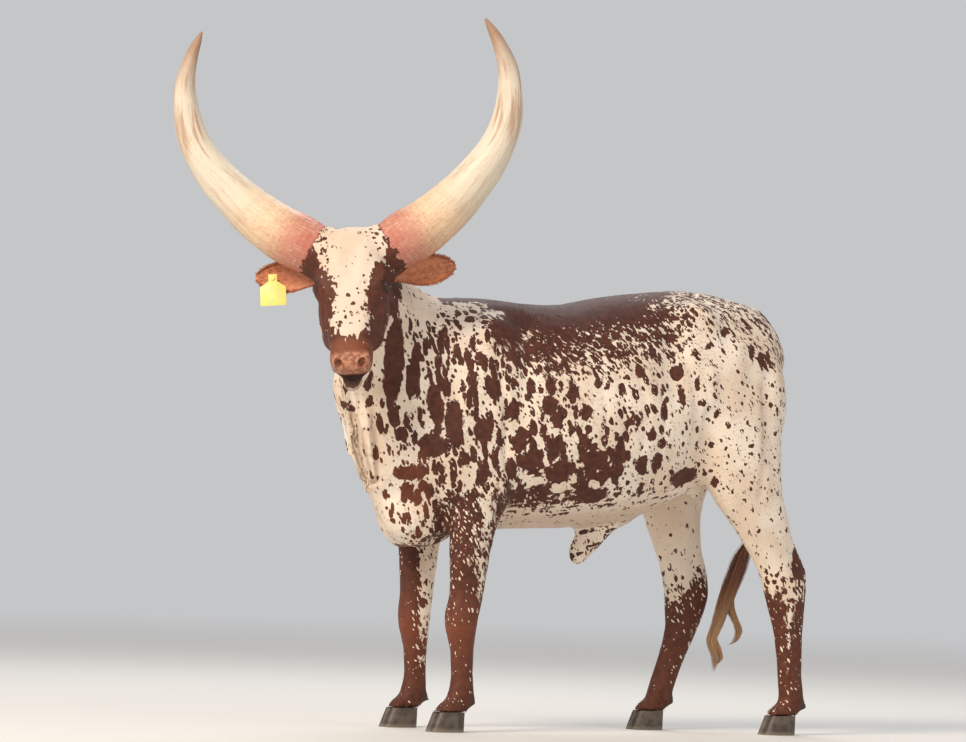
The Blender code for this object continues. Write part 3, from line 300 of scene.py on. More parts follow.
class Surface:
    """A mesh's points and normals as arrays, moved by strokes and written back with refresh."""

    def __init__(self, obj):
        self.mesh = obj.data
        self.points = np.empty(len(self.mesh.vertices) * 3)
        self.mesh.vertices.foreach_get("co", self.points)
        self.points = self.points.reshape(-1, 3)
        self.refresh()

    def refresh(self):
        self.mesh.vertices.foreach_set("co", self.points.ravel())
        self.mesh.update()
        normals = np.empty(len(self.mesh.vertices) * 3)
        self.mesh.vertex_normals.foreach_get("vector", normals)
        self.normals = normals.reshape(-1, 3)

    def even_out(self, rounds, where=1.0):
        """Moves each point towards its neighbours' mean, and back a little so that nothing shrinks."""
        where = np.broadcast_to(where, len(self.points))[:, None]
        edges = np.empty(len(self.mesh.edges) * 2, int)
        self.mesh.edges.foreach_get("vertices", edges)
        a, b = edges.reshape(-1, 2).T
        count = np.bincount(edges, minlength=len(self.points))[:, None]
        for i in range(rounds):
            for strength in (0.6, -0.62):
                total = np.zeros_like(self.points)
                for axis in range(3):
                    total[:, axis] += np.bincount(a, self.points[b, axis], len(self.points))
                    total[:, axis] += np.bincount(b, self.points[a, axis], len(self.points))
                self.points += (total / count - self.points) * strength * where


def head_share(points):
    """1 on the head, 0 from a hand's breadth down the neck."""
    local = in_frame(points, HEAD)
    return np.clip((local[:, 1] + 0.26) / 0.05, 0, 1) * np.clip((local[:, 2] + 0.16) / 0.08, 0, 1)


def pick_only(*pieces):
    bpy.ops.object.select_all(action="DESELECT")
    for piece in pieces:
        piece.select_set(True)
    bpy.context.view_layer.objects.active = pieces[0]


def copy_of_node(name):
    piece = nodes[name].copy()
    piece.data = nodes[name].data.copy()
    piece.parent = None
    for key in list(piece.keys()):
        del piece[key]
    bpy.context.scene.collection.objects.link(piece)
    return piece


def melt_flesh():
    pick_only(*[copy_of_node(name) for name in FLESH + ("eye_left", "eye_right")])
    bpy.ops.object.join()
    skin = bpy.context.active_object
    skin.name = skin.data.name = "skin"
    skin.data.materials.clear()
    melt = skin.modifiers.new("melt", "REMESH")
    melt.mode = "VOXEL"
    melt.voxel_size = MELT
    bpy.ops.object.modifier_apply(modifier=melt.name)
    return skin


skin = melt_flesh()
surface = Surface(skin)
on_head = head_share(surface.points)
thick_parts = step(surface.points[:, 2], 0.50, 0.62)
surface.even_out(ROUNDS_BODY, (1 - on_head) * (0.35 + 0.65 * thick_parts))
surface.even_out(ROUNDS_ALL)
surface.refresh()


def refine(obj, chosen):
    """Halves the edges of the chosen faces."""
    bpy.ops.object.mode_set(mode="EDIT")
    bpy.ops.mesh.select_mode(type="FACE")
    bpy.ops.mesh.select_all(action="DESELECT")
    work = bmesh.from_edit_mesh(obj.data)
    for face, pick in zip(work.faces, chosen):
        face.select_set(bool(pick))
    bmesh.update_edit_mesh(obj.data)
    bpy.ops.mesh.subdivide(number_cuts=1)
    bpy.ops.object.mode_set(mode="OBJECT")


def face_centres(obj):
    centres = np.empty(len(obj.data.polygons) * 3)
    obj.data.polygons.foreach_get("center", centres)
    return centres.reshape(-1, 3)


def as_left(local):
    """Head places with the right half turned over to the left."""
    return np.column_stack([np.abs(local[:, 0]), local[:, 1:]])


# finer mesh on the head and the dewlap, and finer still round the eyes and the mouth
centres = face_centres(skin)
in_front = (centres[:, 0] < -0.38) & (np.abs(centres[:, 1]) < 0.17)
dewlap_height = (centres[:, 2] > 0.72) & (centres[:, 2] < 1.24)
refine(skin, (head_share(centres) > 0.5) | (in_front & dewlap_height))
local = as_left(in_frame(face_centres(skin), HEAD))
near_eye = np.linalg.norm(local - EYE_PLACE, axis=1) < 0.045
near_mouth = (local[:, 2] > 0.350) & (local[:, 1] > -0.150)
refine(skin, near_eye | near_mouth)
surface = Surface(skin)
surface.even_out(ROUNDS_HEAD, head_share(surface.points))
surface.refresh()


def stroke(line, reach, depth, side, axes=HEAD, facing=0.15):
    """Raises or sinks the skin along a line seen flat along the axes' first direction."""
    local = in_frame(surface.points, axes)
    turned = surface.normals @ np.array(axes.inverted())[:3, :3].T
    weight = np.exp(-((gap_to_line(local[:, 1:], line) / reach) ** 2) * 2)
    weight *= np.clip((turned[:, 0] * side - facing) / 0.3, 0, 1) * (local[:, 0] * side > 0)
    surface.points += surface.normals * (weight * depth)[:, None]


# the picture's measure: metres to a unit, where the body's origin lies in it, what the lens looks at, and
# the point that the lean turns about
UNIT = 0.003
SEEN_ORIGIN = (590, 756)
SEEN_AXIS = (478.5, 572.7)
SEEN_PIVOT = (590, 520)


def as_seen(points, turned_over=True):
    """Where points of the body lie across and down the picture, with the far side turned over or not."""
    x, y, z = (points - np.array(BODY_CENTRE)).T
    y = -np.abs(y) if turned_over else y
    turn_cos, turn_sin = math.cos(VIEW_TURN), math.sin(VIEW_TURN)
    near = 1 / (1 - (x * turn_sin - y * turn_cos) / VIEW_DISTANCE)
    across = SEEN_AXIS[0] + (SEEN_ORIGIN[0] + (x * turn_cos + y * turn_sin) / UNIT - SEEN_AXIS[0]) * near
    down = SEEN_AXIS[1] + (SEEN_ORIGIN[1] - z / UNIT - SEEN_AXIS[1]) * near
    lean = math.tan(VIEW_LEAN)
    return across - (down - SEEN_PIVOT[1]) * lean, down + (across - SEEN_PIVOT[0]) * lean


# the dewlap hangs in nine long folds, seen from the front: how far to the side each lies, and its depth
FRONT = Matrix.Translation(BODY_CENTRE) @ Matrix.Diagonal((-1, 1, 1, 1))
DEWLAP_STRENGTH, DEWLAP_REACH = 1.7, 0.010
DEWLAP = [(-0.118, 1.20), (-0.100, 1.10), (-0.074, 1.00), (-0.054, 0.90), (-0.034, 0.80), (-0.018, 0.72)]
DEWLAP_FOLDS = []
for offset, depth in ((-0.062, 0.004), (-0.044, -0.007), (-0.027, 0.006), (-0.012, -0.008), (0.001, 0.008),
                      (0.015, -0.008), (0.030, 0.006), (0.046, -0.006), (0.062, 0.004)):
    fold = [(y + offset * (0.55 + 0.45 * math.sin(z * 5)) + 0.006 * math.sin(z * 16 + offset * 90), z)
            for y, z in DEWLAP]
    DEWLAP_FOLDS.append((fold, depth))
    stroke(fold, DEWLAP_REACH, depth * DEWLAP_STRENGTH, 1, FRONT, facing=0.05)
THROAT_FOLDS = [
    # lines across and down the picture, reach and depth: creases of the loose throat skin
    ([(345, 398), (347, 430), (352, 458), (361, 500)], 2.6, -0.010),
    ([(352, 432), (358, 452), (362, 470), (367, 490)], 2.0, -0.007),
    ([(364, 404), (370, 440), (373, 468), (374, 500)], 2.8, -0.009),
    ([(350, 405), (353, 430), (357, 446)], 2.4, 0.004), ([(359, 410), (364, 440), (367, 470)], 2.8, 0.006),
    ([(350, 500), (362, 503), (374, 498)], 2.4, -0.006),
    ([(448, 522), (437, 536), (419, 547)], 1.8, -0.003), ([(448, 538), (432, 547), (412, 552)], 1.8, -0.003),
]


def throat_weights(points):
    """How near each fold of the throat every point lies, where the skin hangs loose."""
    across, down = as_seen(points)
    seen = np.column_stack([across, down])
    loose = step(points[:, 0], -0.26, -0.32) * (1 - head_share(points)) * step(down, 398, 436)
    return [np.exp(-((gap_to_line(seen, line) / reach) ** 2)) * loose for line, reach, depth in THROAT_FOLDS]


# the throat's front edge is drawn back, down to where it meets the brisket
THROAT_EDGE = [(385, 334), (430, 338), (460, 343), (490, 354), (510, 363), (530, 367), (550, 372), (575, 386)]
EDGE_SOFT, EDGE_MOST = 14, 40
DRAWN_BACK = 0.55
FOLD_STRENGTH = 1.3
across, down = as_seen(surface.points, turned_over=False)
beyond = np.clip(np.interp(down, *zip(*THROAT_EDGE)) + EDGE_SOFT - across, 0, EDGE_MOST)
beyond *= step(down, 388, 448) * step(down, 580, 556) * (1 - head_share(surface.points))
beyond *= step(surface.points[:, 0], -0.22, -0.30)
surface.points[:, 0] += beyond * DRAWN_BACK * UNIT / math.cos(VIEW_TURN)
surface.refresh()
for fold, (line, reach, depth) in zip(throat_weights(surface.points), THROAT_FOLDS):
    surface.points += surface.normals * (fold * depth * FOLD_STRENGTH)[:, None]
SIDE = Matrix.Translation(BODY_CENTRE) @ Matrix(((0, 1, 0), (-1, 0, 0), (0, 0, 1))).to_4x4()
BODY_STROKES = [
    # lines along and up the body, reach and depth: creases behind and before the shoulder, flank, and thigh
    ([(-0.43, 1.06), (-0.414, 0.98), (-0.410, 0.88), (-0.40, 0.79)], 0.018, -0.008),
    ([(-0.62, 1.24), (-0.59, 1.12), (-0.57, 1.00)], 0.028, -0.005),
    ([(0.21, 1.18), (0.24, 1.06), (0.25, 0.95), (0.23, 0.84)], 0.026, -0.007),
    ([(0.30, 1.10), (0.31, 0.96), (0.28, 0.84)], 0.034, 0.005),
    ([(0.50, 1.08), (0.505, 0.92), (0.49, 0.74)], 0.020, -0.005),
]
RIBS, RIB_GAP = 6, 0.072
for k in range(RIBS):
    rib = [(-0.27 + RIB_GAP * k, 1.12), (-0.23 + RIB_GAP * k, 0.98), (-0.25 + RIB_GAP * k, 0.82)]
    BODY_STROKES.append((rib, 0.014, -0.0022))
LEG_STROKES = [
    # grooves beside the tendons of the near legs
    ([(0.665, 0.62), (0.690, 0.52), (0.700, 0.47)], 0.010, -0.006),
    ([(0.655, 0.36), (0.655, 0.22)], 0.010, -0.004),
    ([(-0.470, 0.31), (-0.468, 0.18)], 0.010, -0.004),
    ([(-0.500, 0.62), (-0.490, 0.46)], 0.010, -0.004),
]
for side in (LEFT, RIGHT):
    for line, reach, depth in BODY_STROKES:
        stroke(line, reach, depth, side, SIDE)
for line, reach, depth in LEG_STROKES:
    stroke(line, reach, depth, LEFT, SIDE)
surface.refresh()


def eye_axes(side):
    """The eye's slit from ear to nose, the way its lid rises and the way it looks, placed at the eye."""
    look = Vector((0.87 * side, 0.49, -0.05)).normalized()
    slit = Vector((0.10 * side, -0.30, 0.95))
    slit = (slit - look * slit.dot(look)).normalized()
    rise = look.cross(slit)
    rise = rise if rise.y > 0 else -rise
    place = Matrix.Translation((EYE_PLACE[0] * side, EYE_PLACE[1], EYE_PLACE[2]))
    return HEAD @ place @ Matrix((slit, rise, look)).transposed().to_4x4()


# half the almond's width, its height above and below, and how far lids and their fold stand off, in radii
ALMOND, ALMOND_POWER = (0.93, 0.60, 0.50), 1.6
UNDER_GLOBE, LID, LID_FOLD = 0.80, 1.03, 0.11


def open_eye(side):
    """Lids over the eyeball, with an almond between them that shows it."""
    axes = eye_axes(side)
    local = in_frame(surface.points, axes)
    gap = np.linalg.norm(local, axis=1)
    a, b, c = local.T / EYE_RADIUS
    height = np.where(b > 0, ALMOND[1], ALMOND[2])
    opening = (np.abs(a) / ALMOND[0]) ** ALMOND_POWER + (np.abs(b) / height) ** ALMOND_POWER
    shell = np.where(opening < 1, UNDER_GLOBE, LID + LID_FOLD * step(opening, 1.0, 1.35))
    target = local / np.maximum(gap, 0.000001)[:, None] * (shell * EYE_RADIUS)[:, None]
    share = (1 - step(gap / EYE_RADIUS, 1.25, 1.8)) * (1 - step(np.hypot(a, b), 0.95, 1.40)) * (c > -0.2)
    surface.points = placed(local + (target - local) * share[:, None], axes)


def hollow(spot, radii, turn, depth):
    """An oval hollow pressed into the front of the muzzle, at a place in the head."""
    axes = HEAD @ Matrix.Translation(spot) @ Matrix.Rotation(turn, 4, "Z")
    local = in_frame(surface.points, axes) / np.array(radii)
    share = 1 - step(np.linalg.norm(local, axis=1), 0.45, 1.05)
    inward = np.array(HEAD.to_3x3() @ Vector((0, -0.80, -0.60)).normalized())
    surface.points += inward * (share * depth)[:, None]


NOSTRIL = (0.037, -0.036, 0.462)
NOSTRIL_SEEN = (0.0335, -0.036, 0.444)
NOSTRIL_RADII, NOSTRIL_DEPTH = (0.012, 0.020, 0.017), 0.020
LIPS = [(-0.084, 0.366), (-0.089, 0.400), (-0.092, 0.435), (-0.092, 0.465), (-0.090, 0.492)]
EYE_STROKES = [
    # lines out of and down the face, reach, depth and how far it goes round: folds round the eye, cheek ridge
    ([(-0.070, 0.150), (-0.078, 0.190), (-0.070, 0.228)], 0.006, -0.0025, 0.15),
    ([(-0.076, 0.145), (-0.086, 0.190), (-0.078, 0.240)], 0.006, 0.0020, 0.15),
    ([(-0.020, 0.150), (-0.012, 0.185), (-0.020, 0.220)], 0.007, 0.0030, -0.2),
    ([(-0.060, 0.240), (-0.072, 0.290), (-0.088, 0.335)], 0.010, 0.0030, 0.15),
]
MOUTH_STROKES = [
    # raised wing of the nostril, the fold behind it, groove between the lips, and the lips full beside it
    ([(-0.020, 0.425), (-0.045, 0.425), (-0.066, 0.440)], 0.007, 0.0030, -0.1),
    ([(-0.030, 0.410), (-0.055, 0.415)], 0.006, -0.0020, 0.0),
    (LIPS, 0.0045, -0.0060, -0.4),
    ([(out + 0.011, along) for out, along in LIPS[1:4]], 0.006, 0.0022, 0.0),
    ([(out - 0.012, along) for out, along in LIPS[1:4]], 0.006, 0.0020, 0.0),
]
FACE_STROKES = [
    # lines left of and down the face, seen from the front: brow, nose bone, hollow before the eye
    ([(0.070, 0.080), (0.084, 0.118), (0.086, 0.155)], 0.016, 0.006),
    ([(0.100, 0.060), (0.104, 0.100)], 0.016, -0.004),
    ([(0.034, 0.200), (0.038, 0.290), (0.040, 0.380)], 0.010, 0.0035),
    ([(0.064, 0.205), (0.060, 0.260), (0.058, 0.320)], 0.014, -0.0045),
    ([(0.082, 0.215), (0.078, 0.270), (0.070, 0.330)], 0.012, 0.003),
]
for side in (LEFT, RIGHT):
    for line, reach, depth, facing in EYE_STROKES:
        stroke(line, reach, depth, side, facing=facing)
    nostril = (NOSTRIL[0] * side, NOSTRIL[1], NOSTRIL[2])
    hollow(nostril, NOSTRIL_RADII, math.radians(-35 * side), NOSTRIL_DEPTH)
    for line, reach, depth, facing in MOUTH_STROKES:
        stroke(line, reach, depth, side, facing=facing)
FACE = HEAD @ Matrix(((0, 1, 0), (1, 0, 0), (0, 0, 1))).to_4x4()
for side in (LEFT, RIGHT):
    for line, reach, depth in FACE_STROKES:
        stroke([(left * side, along) for left, along in line], reach, depth, 1, FACE)
stroke([(0.0, 0.090), (0.0, 0.160)], 0.034, -0.005, 1, FACE)
stroke([(0.0, 0.445), (0.0, 0.490)], 0.007, -0.0030, 1, FACE)
surface.refresh()

# the muzzle is narrowed, the groove of the lips goes on round the front, the lids open, and chin and nose
# are drawn in
TO_LEFT, OUT_OF_FACE, DOWN_FACE = (np.array(HEAD.col[i].xyz) for i in range(3))
MUZZLE_START = 0.34
NARROWER, SHORTER, CHIN_RAISED, CHIN_NARROWED = 0.09, 0.15, 0.52, 3.5
LIP_FRONT, LIP_REACH, LIP_DEPTH = (-0.089, 0.488), 0.010, 0.006
local = in_frame(surface.points, HEAD)
narrower = NARROWER * step(local[:, 2], 0.30, 0.40) * head_share(surface.points)
surface.points -= (local[:, 0] * narrower)[:, None] * TO_LEFT
surface.refresh()
local = in_frame(surface.points, HEAD)
gap = np.hypot(local[:, 1] - LIP_FRONT[0], local[:, 2] - LIP_FRONT[1])
groove = np.exp(-((gap / LIP_REACH) ** 2) * 2) * (np.abs(local[:, 0]) < 0.05)
surface.points -= surface.normals * (groove * LIP_DEPTH)[:, None]
for side in (LEFT, RIGHT):
    open_eye(side)
local = in_frame(surface.points, HEAD)
on_head = head_share(surface.points)
chin_drop = np.maximum(-0.100 - local[:, 1], 0) * step(local[:, 2], MUZZLE_START, 0.42) * on_head
surface.points += (CHIN_RAISED * chin_drop)[:, None] * OUT_OF_FACE
surface.points -= (CHIN_NARROWED * chin_drop * local[:, 0])[:, None] * TO_LEFT
shortened = SHORTER * np.maximum(local[:, 2] - MUZZLE_START, 0) * on_head
surface.points -= shortened[:, None] * DOWN_FACE
surface.refresh()
surface.points -= surface.normals * COAT_DEPTH
surface.refresh()
skin.data.shade_smooth()
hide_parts(*FLESH)
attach(skin, "root")


# Markings: mahogany on cream, as the animal carries them. Each point of the skin gets a darkness, to which
# the paint adds cells of spots, so that a patch breaks up at its edge. Marks are placed as they are seen from
# the camera's side, in units of 3 mm across and down, and the far side carries the same ones turned over.
PATCHES = [
    # across, down, half width, half height, tilt: neck
    (391, 372, 11, 50, 2), (411, 393, 8, 20, 4), (416, 327, 4, 13, 12), (414, 368, 5, 14, 6),
    (434, 420, 8, 26, -8), (431, 462, 16, 13, 20), (408, 490, 20, 8, -6), (392, 433, 8, 11, 0),
    (399, 450, 7, 8, 30), (381, 446, 5, 8, 0), (428, 508, 5, 7, 0), (415, 518, 4, 6, 0), (404, 505, 4, 6, 0),
    (445, 402, 5, 12, -4), (437, 375, 3, 10, 0), (424, 360, 3, 12, 5), (440, 350, 3, 9, 0),
    # shoulder
    (453, 440, 10, 27, -3), (472, 396, 5, 16, -4), (494, 404, 8, 13, -20), (515, 427, 6, 14, 4),
    (484, 447, 11, 14, -10), (473, 521, 11, 15, -6), (483, 490, 7, 15, 12), (463, 475, 5, 8, 0),
    (480, 373, 6, 8, -20), (455, 366, 3, 9, 0), (500, 455, 3, 12, 0), (496, 475, 4, 12, 5),
    # ribs
    (552, 421, 9, 11, -12), (560, 437, 8, 11, -14), (590, 429, 8, 9, 0), (590, 463, 11, 14, -8),
    (574, 446, 4, 6, 0), (524, 457, 11, 11, 0), (535, 479, 13, 20, 0), (558, 466, 11, 14, 0),
    (546, 450, 5, 10, -10), (563, 489, 18, 13, 0), (585, 496, 17, 12, 0), (604, 485, 17, 19, 0),
    (618, 480, 9, 17, -16), (594, 514, 16, 8, -6), (519, 511, 9, 6, 0), (512, 486, 6, 12, 0),
    (628, 470, 6, 12, -20), (553, 402, 5, 10, -16), (532, 402, 4, 9, -10), (577, 405, 4, 8, -20),
    (546, 508, 14, 7, 0), (612, 400, 3, 5, 0), (602, 398, 4, 6, 0), (630, 440, 3, 4, 0),
    # flank
    (646, 484, 7, 11, 0), (662, 479, 5, 11, 16), (668, 460, 5, 6, 20), (657, 452, 6, 6, 0),
    (670, 427, 4, 11, -2), (643, 438, 4, 5, 0), (636, 439, 3, 4, 0), (690, 495, 15, 9, -22),
    (722, 500, 5, 5, 0), (683, 388, 8, 8, 0), (645, 385, 5, 8, -14), (688, 411, 3, 12, -16),
    (704, 399, 3, 8, -4), (660, 405, 3, 7, -20), (658, 366, 4, 7, -30), (676, 351, 8, 4, 30),
    (725, 428, 3, 3, 0), (760, 463, 3, 3, 0), (769, 546, 4, 4, 0), (716, 360, 3, 4, 0), (702, 367, 3, 4, 0),
    (770, 375, 3, 11, -4), (760, 365, 3, 8, -10), (732, 345, 4, 5, 0), (777, 372, 3, 9, 0),
]
HOLES = [
    (575, 496, 5, 6, 0), (597, 502, 6, 5, 0), (558, 507, 8, 4, 0), (541, 500, 6, 4, 0), (530, 500, 4, 7, 0),
    (612, 500, 4, 6, 0), (399, 430, 3, 6, 0), (417, 478, 5, 3, 0), (548, 478, 2, 7, -20), (604, 460, 4, 4, 0),
]
THROAT_MARKS = [
    (339, 420, 5, 4, 20), (347, 424, 5, 3, 0), (364, 399, 4, 8, 10), (366, 417, 4, 6, 0),
    (357, 503, 9, 1.5, 10), (377, 440, 4, 12, -6), (372, 470, 3, 8, 6), (342, 401, 4, 5, 0),
]
BACK_LINE = [(-0.33, 1.30), (-0.15, 1.318), (0.07, 1.312), (0.33, 1.332), (0.45, 1.362), (0.57, 1.388),
             (0.69, 1.398), (0.80, 1.382), (0.88, 1.342)]
FACE_MARKS = [
    # left, out, along and radius: dark spots in the blaze, and white marks where the radius is negative
    (-0.002, 0, 0.238, 0.007), (0.012, 0, 0.262, 0.009), (-0.012, 0, 0.305, 0.006), (0.022, 0, 0.215, 0.005),
    (0.095, -0.03, 0.245, -0.006), (-0.090, -0.03, 0.250, -0.006), (0.100, -0.05, 0.262, -0.004),
    (0.108, -0.03, 0.152, -0.004), (-0.108, -0.03, 0.150, -0.004), (-0.014, -0.120, 0.462, 0.011),
    (0.016, -0.150, 0.440, 0.009), (-0.020, -0.160, 0.430, 0.008), (0.070, 0, 0.040, 0.006),
    (-0.075, 0, 0.035, 0.007), (-0.052, 0, 0.070, 0.005), (0.085, 0, 0.075, 0.007), (-0.088, 0, 0.080, 0.008),
    (0.046, 0, 0.020, 0.005), (-0.040, 0, 0.015, 0.005), (0.062, 0, 0.105, 0.005), (-0.066, 0, 0.110, 0.006),
    (-0.015, 0, 0.285, 0.005), (0.004, 0, 0.325, 0.006), (-0.030, 0, 0.330, 0.006), (0.030, 0, 0.320, 0.005),
]
BLAZE = [(-0.02, 0.150), (0.05, 0.120), (0.100, 0.095), (0.133, 0.078), (0.212, 0.0445), (0.266, 0.047),
         (0.310, 0.0565), (0.342, 0.046), (0.368, 0.010), (0.39, -0.04)]


# how brown the hide is: across the picture, below the back, and up each leg, as places and darkness
BROWN_ACROSS = ([380, 440, 500, 560, 640, 700, 800], [0.0, 0.12, 0.14, 0.09, -0.03, -0.16, -0.22])
BACK_STRIP = ([0.045, 0.085, 0.15, 0.21, 0.30], [1.1, 0.50, 0.36, 0.22, 0.0])
NEAR_FORE = ([0.30, 0.42, 0.50, 0.70], [0.72, 0.52, 0.44, 0.42])
FAR_FORE_FRONT = ([0.14, 0.24, 0.62], [1.0, 0.85, 0.55])
FAR_FORE_REAR = ([0.14, 0.22, 0.36, 0.62], [1.0, 0.30, 0.05, -0.12])
NEAR_HIND = ([0.20, 0.40, 0.47, 0.55, 0.75], [0.70, 0.52, 0.20, -0.20, -0.30])
FAR_HIND = ([0.14, 0.22, 0.40, 0.46, 0.55, 0.75], [0.72, 0.40, 0.26, 0.12, -0.22, -0.50])
# how rusty the legs are on their way up, the face's darkest and palest, and how a mark rises from its edge
RUST_FORE = ([0.05, 0.20, 0.31, 0.36, 0.45, 0.60], [0.10, 0.16, 0.40, 0.24, 0.08, 0.04])
RUST_HIND = ([0.10, 0.45, 0.60], [0.15, 0.10, 0.0])
FULL_FACE, FULL_BLAZE = 1.0, -0.62
MARK_EDGE, MARK_RISE = 0.22, 1.6
# where the dewclaws stand along the body, how far they reach, and up to what height
DEWCLAWS, DEWCLAW_REACH, DEWCLAW_TOP = (-0.136, 1.036, 0.731), 0.014, 0.115


class Places:
    """Where points lie: in the room, across and down the picture, off the back, and on the head."""

    def __init__(self, points):
        self.x, self.y, self.z = points.T
        self.across, self.down = as_seen(points)
        self.inward = self.y - BODY_CENTRE.y
        self.aside = np.abs(self.inward)
        self.below_back = np.interp(self.x, *zip(*BACK_LINE)) - self.z
        self.local = in_frame(points, HEAD)
        self.left, self.out, self.along = as_left(self.local).T
        self.head = step(head_share(points), 0.3, 0.7)

    def area(self, **limits):
        """1 inside and 0 outside: for each measure a rise from and to, and perhaps a fall from and to."""
        share = 1.0
        for measure, (low, high, *fall) in limits.items():
            values = getattr(self, measure)
            share = share * step(values, low, high)
            if fall:
                share = share * step(values, fall[1], fall[0])
        return share

    def oval(self, mark):
        """1 at the middle of an oval mark, 0 at its edge, below 0 outside."""
        x, y, half, tall, tilt = mark
        turn = math.radians(tilt)
        u = (self.across - x) * math.cos(turn) + (self.down - y) * math.sin(turn)
        v = (self.down - y) * math.cos(turn) - (self.across - x) * math.sin(turn)
        return 1 - np.hypot(u / half, v / tall)


def trunk_darkness(at, belly, under):
    dark = np.interp(at.across, *BROWN_ACROSS)
    dark += 0.14 * at.area(down=(440, 475), across=(490, 515, 610, 660))
    dark += 0.12 * at.area(down=(430, 460), across=(392, 404, 430, 450))
    # strip along the back with ragged ends, its thinner rear, and the crest of the neck
    uneven = 0.03 * np.sin(at.y * 83 - at.x * 41) * at.area(aside=(0.22, 0.16))
    length = at.x + 0.05 * np.sin(at.y * 37 + at.x * 16 + 1) + uneven
    dark += np.interp(at.below_back, *BACK_STRIP) * step(length, -0.16, 0.02) * step(length, 0.60, 0.32)
    dark += 0.36 * at.area(below_back=(0.30, 0.05), x=(0.30, 0.50))
    dark += 0.7 * at.area(below_back=(0.07, 0.03), x=(-0.02, -0.12), aside=(0.07, 0.035))
    for mark in PATCHES:
        dark = np.maximum(dark, at.oval(mark) * MARK_RISE + MARK_EDGE)
    # slanting pale lines part the patches low on the ribs
    slant = at.across - 0.35 * at.down + 5 * np.sin(at.down * 0.13 + 1)
    slant += 3 * np.sin(at.down * 0.31 + at.across * 0.05)
    parting = step(np.abs(np.sin(slant * math.pi / 14)), 0.46, 0.16)
    parting *= step(np.sin(at.down * 0.19 + at.across * 0.11), -0.5, 0.1)
    low_ribs = at.area(across=(484, 500, 640, 665), down=(410, 436, 508, 522))
    dark = np.minimum(dark, 1.9 - 1.1 * low_ribs) - 0.75 * parting * low_ribs
    for mark in HOLES:
        dark -= np.clip(at.oval(mark) * 1.3 + 0.4, 0, 0.9)
    # pale throat, nape, belly and dewlap
    plain = at.area(across=(388, 374), down=(396, 412, 500, 520))
    plain = np.maximum(plain, 0.9 * at.area(down=(345, 325), across=(398, 404, 430, 444)))
    dark = dark * (1 - plain) - 0.75 * plain
    dark += 0.16 * belly * at.area(z=(0.66, 0.70))
    dark = dark * (1 - under * belly) + under * belly * -0.40
    dewlap = at.area(x=(-0.30, -0.36), aside=(0.085, 0.055), z=(1.30, 1.20))
    dark = dark * (1 - dewlap) - 0.9 * dewlap
    for mark in THROAT_MARKS:
        near_only = -2 * at.area(y=(0.05, 0.08))
        dark = np.maximum(dark, at.oval(mark) * MARK_RISE + 0.2 + near_only)
    tail_line = at.area(x=(0.905, 0.935), aside=(0.036, 0.022), z=(0.60, 0.66))
    return np.maximum(dark, tail_line * 1.4 - 0.4)


def leg_darkness(at, near_side):
    """Fore and hind legs' darkness, from elbow and stifle down."""
    rear_half = at.area(x=(-0.200, -0.170))
    near_fore = np.interp(at.z, *NEAR_FORE)
    near_fore -= 0.20 * np.exp(-(((at.x + 0.140) / 0.024) ** 2)) * at.area(z=(0.34, 0.40))
    far_fore = np.interp(at.z, *FAR_FORE_FRONT) * (1 - rear_half)
    far_fore += np.interp(at.z, *FAR_FORE_REAR) * rear_half
    near_hind = np.interp(at.z, *NEAR_HIND)
    near_hind -= 0.34 * np.exp(-(((at.x - 0.964) / 0.017) ** 2)) * at.area(z=(0.12, 0.20, 0.46, 0.50))
    near_hind += 0.85 * at.area(x=(0.950, 0.985), z=(0.47, 0.52, 0.56, 0.64))
    rear = at.area(x=(0.740, 0.790))
    far_hind = np.interp(at.z, *FAR_HIND)
    far_hind += 0.30 * rear * at.area(z=(0.32, 0.38, 0.48, 0.56))
    far_hind += 0.30 * (1 - rear) * at.area(z=(0.42, 0.34))
    return np.where(near_side, near_fore, far_fore), np.where(near_side, near_hind, far_hind)


def face_darkness(at):
    """Brown, with a white blaze from the poll to the nose, a pale throat and a pale chin."""
    sway = 0.011 * np.sin(at.local[:, 0] * 170 + 0.7) + 0.007 * np.sin(at.local[:, 0] * 390 + 2.0)
    edge = 0.0035 * np.sin(at.along * 140 + at.local[:, 0] * 20) + 0.0025 * np.sin(at.along * 330 + 1.0)
    face = (at.left + edge - 0.93 * np.interp(at.along + sway, *zip(*BLAZE))) / 0.045
    face = np.clip(face * np.where(face > 0, 2.2, 1.0), FULL_BLAZE, FULL_FACE)
    face = np.maximum(face, FULL_BLAZE + 0.70 * at.area(along=(0.13, 0.07), left=(0.030, 0.075)))
    face = np.maximum(face, -0.30 * at.area(along=(0.28, 0.33)) - 0.55 * at.area(along=(0.30, 0.26)))
    throat = at.area(out=(-0.120, -0.150), along=(0.16, 0.24))
    chin = at.area(along=(0.400, 0.430), out=(-0.100, -0.107))
    throat = np.maximum(throat, chin)
    face = face * (1 - throat) - 0.8 * throat
    face = np.where(at.along < -0.01, np.clip((at.left - 0.03) / 0.05, -0.4, 0.1), face)
    for left, out, along, radius in FACE_MARKS:
        gap = np.linalg.norm((at.local - (left, out, along)) * (1, 0.3, 1), axis=1) / abs(radius)
        face += math.copysign(1.5, radius) * np.clip(1.3 - gap, 0, 1)
    return face


def black_skin_and_shade(at):
    """How far the hide goes to black round the eyes, in the nostrils and between the lips: partly the dark
    skin there, partly painted shade in these hollows.
    """
    lips = np.exp(-(((at.out + 0.095) / 0.012) ** 2)) * at.area(along=(0.38, 0.43))
    eye_gap = np.linalg.norm(as_left(at.local) - EYE_PLACE, axis=1)
    nostril_gap = np.linalg.norm((as_left(at.local) - NOSTRIL_SEEN) / (0.012, 0.016, 0.014), axis=1)
    black_and_shade = np.maximum(0.70 * (1 - step(eye_gap, 0.021, 0.031)), 0.9 * lips)
    return np.maximum(black_and_shade, 1 - step(nostril_gap, 0.7, 1.0))


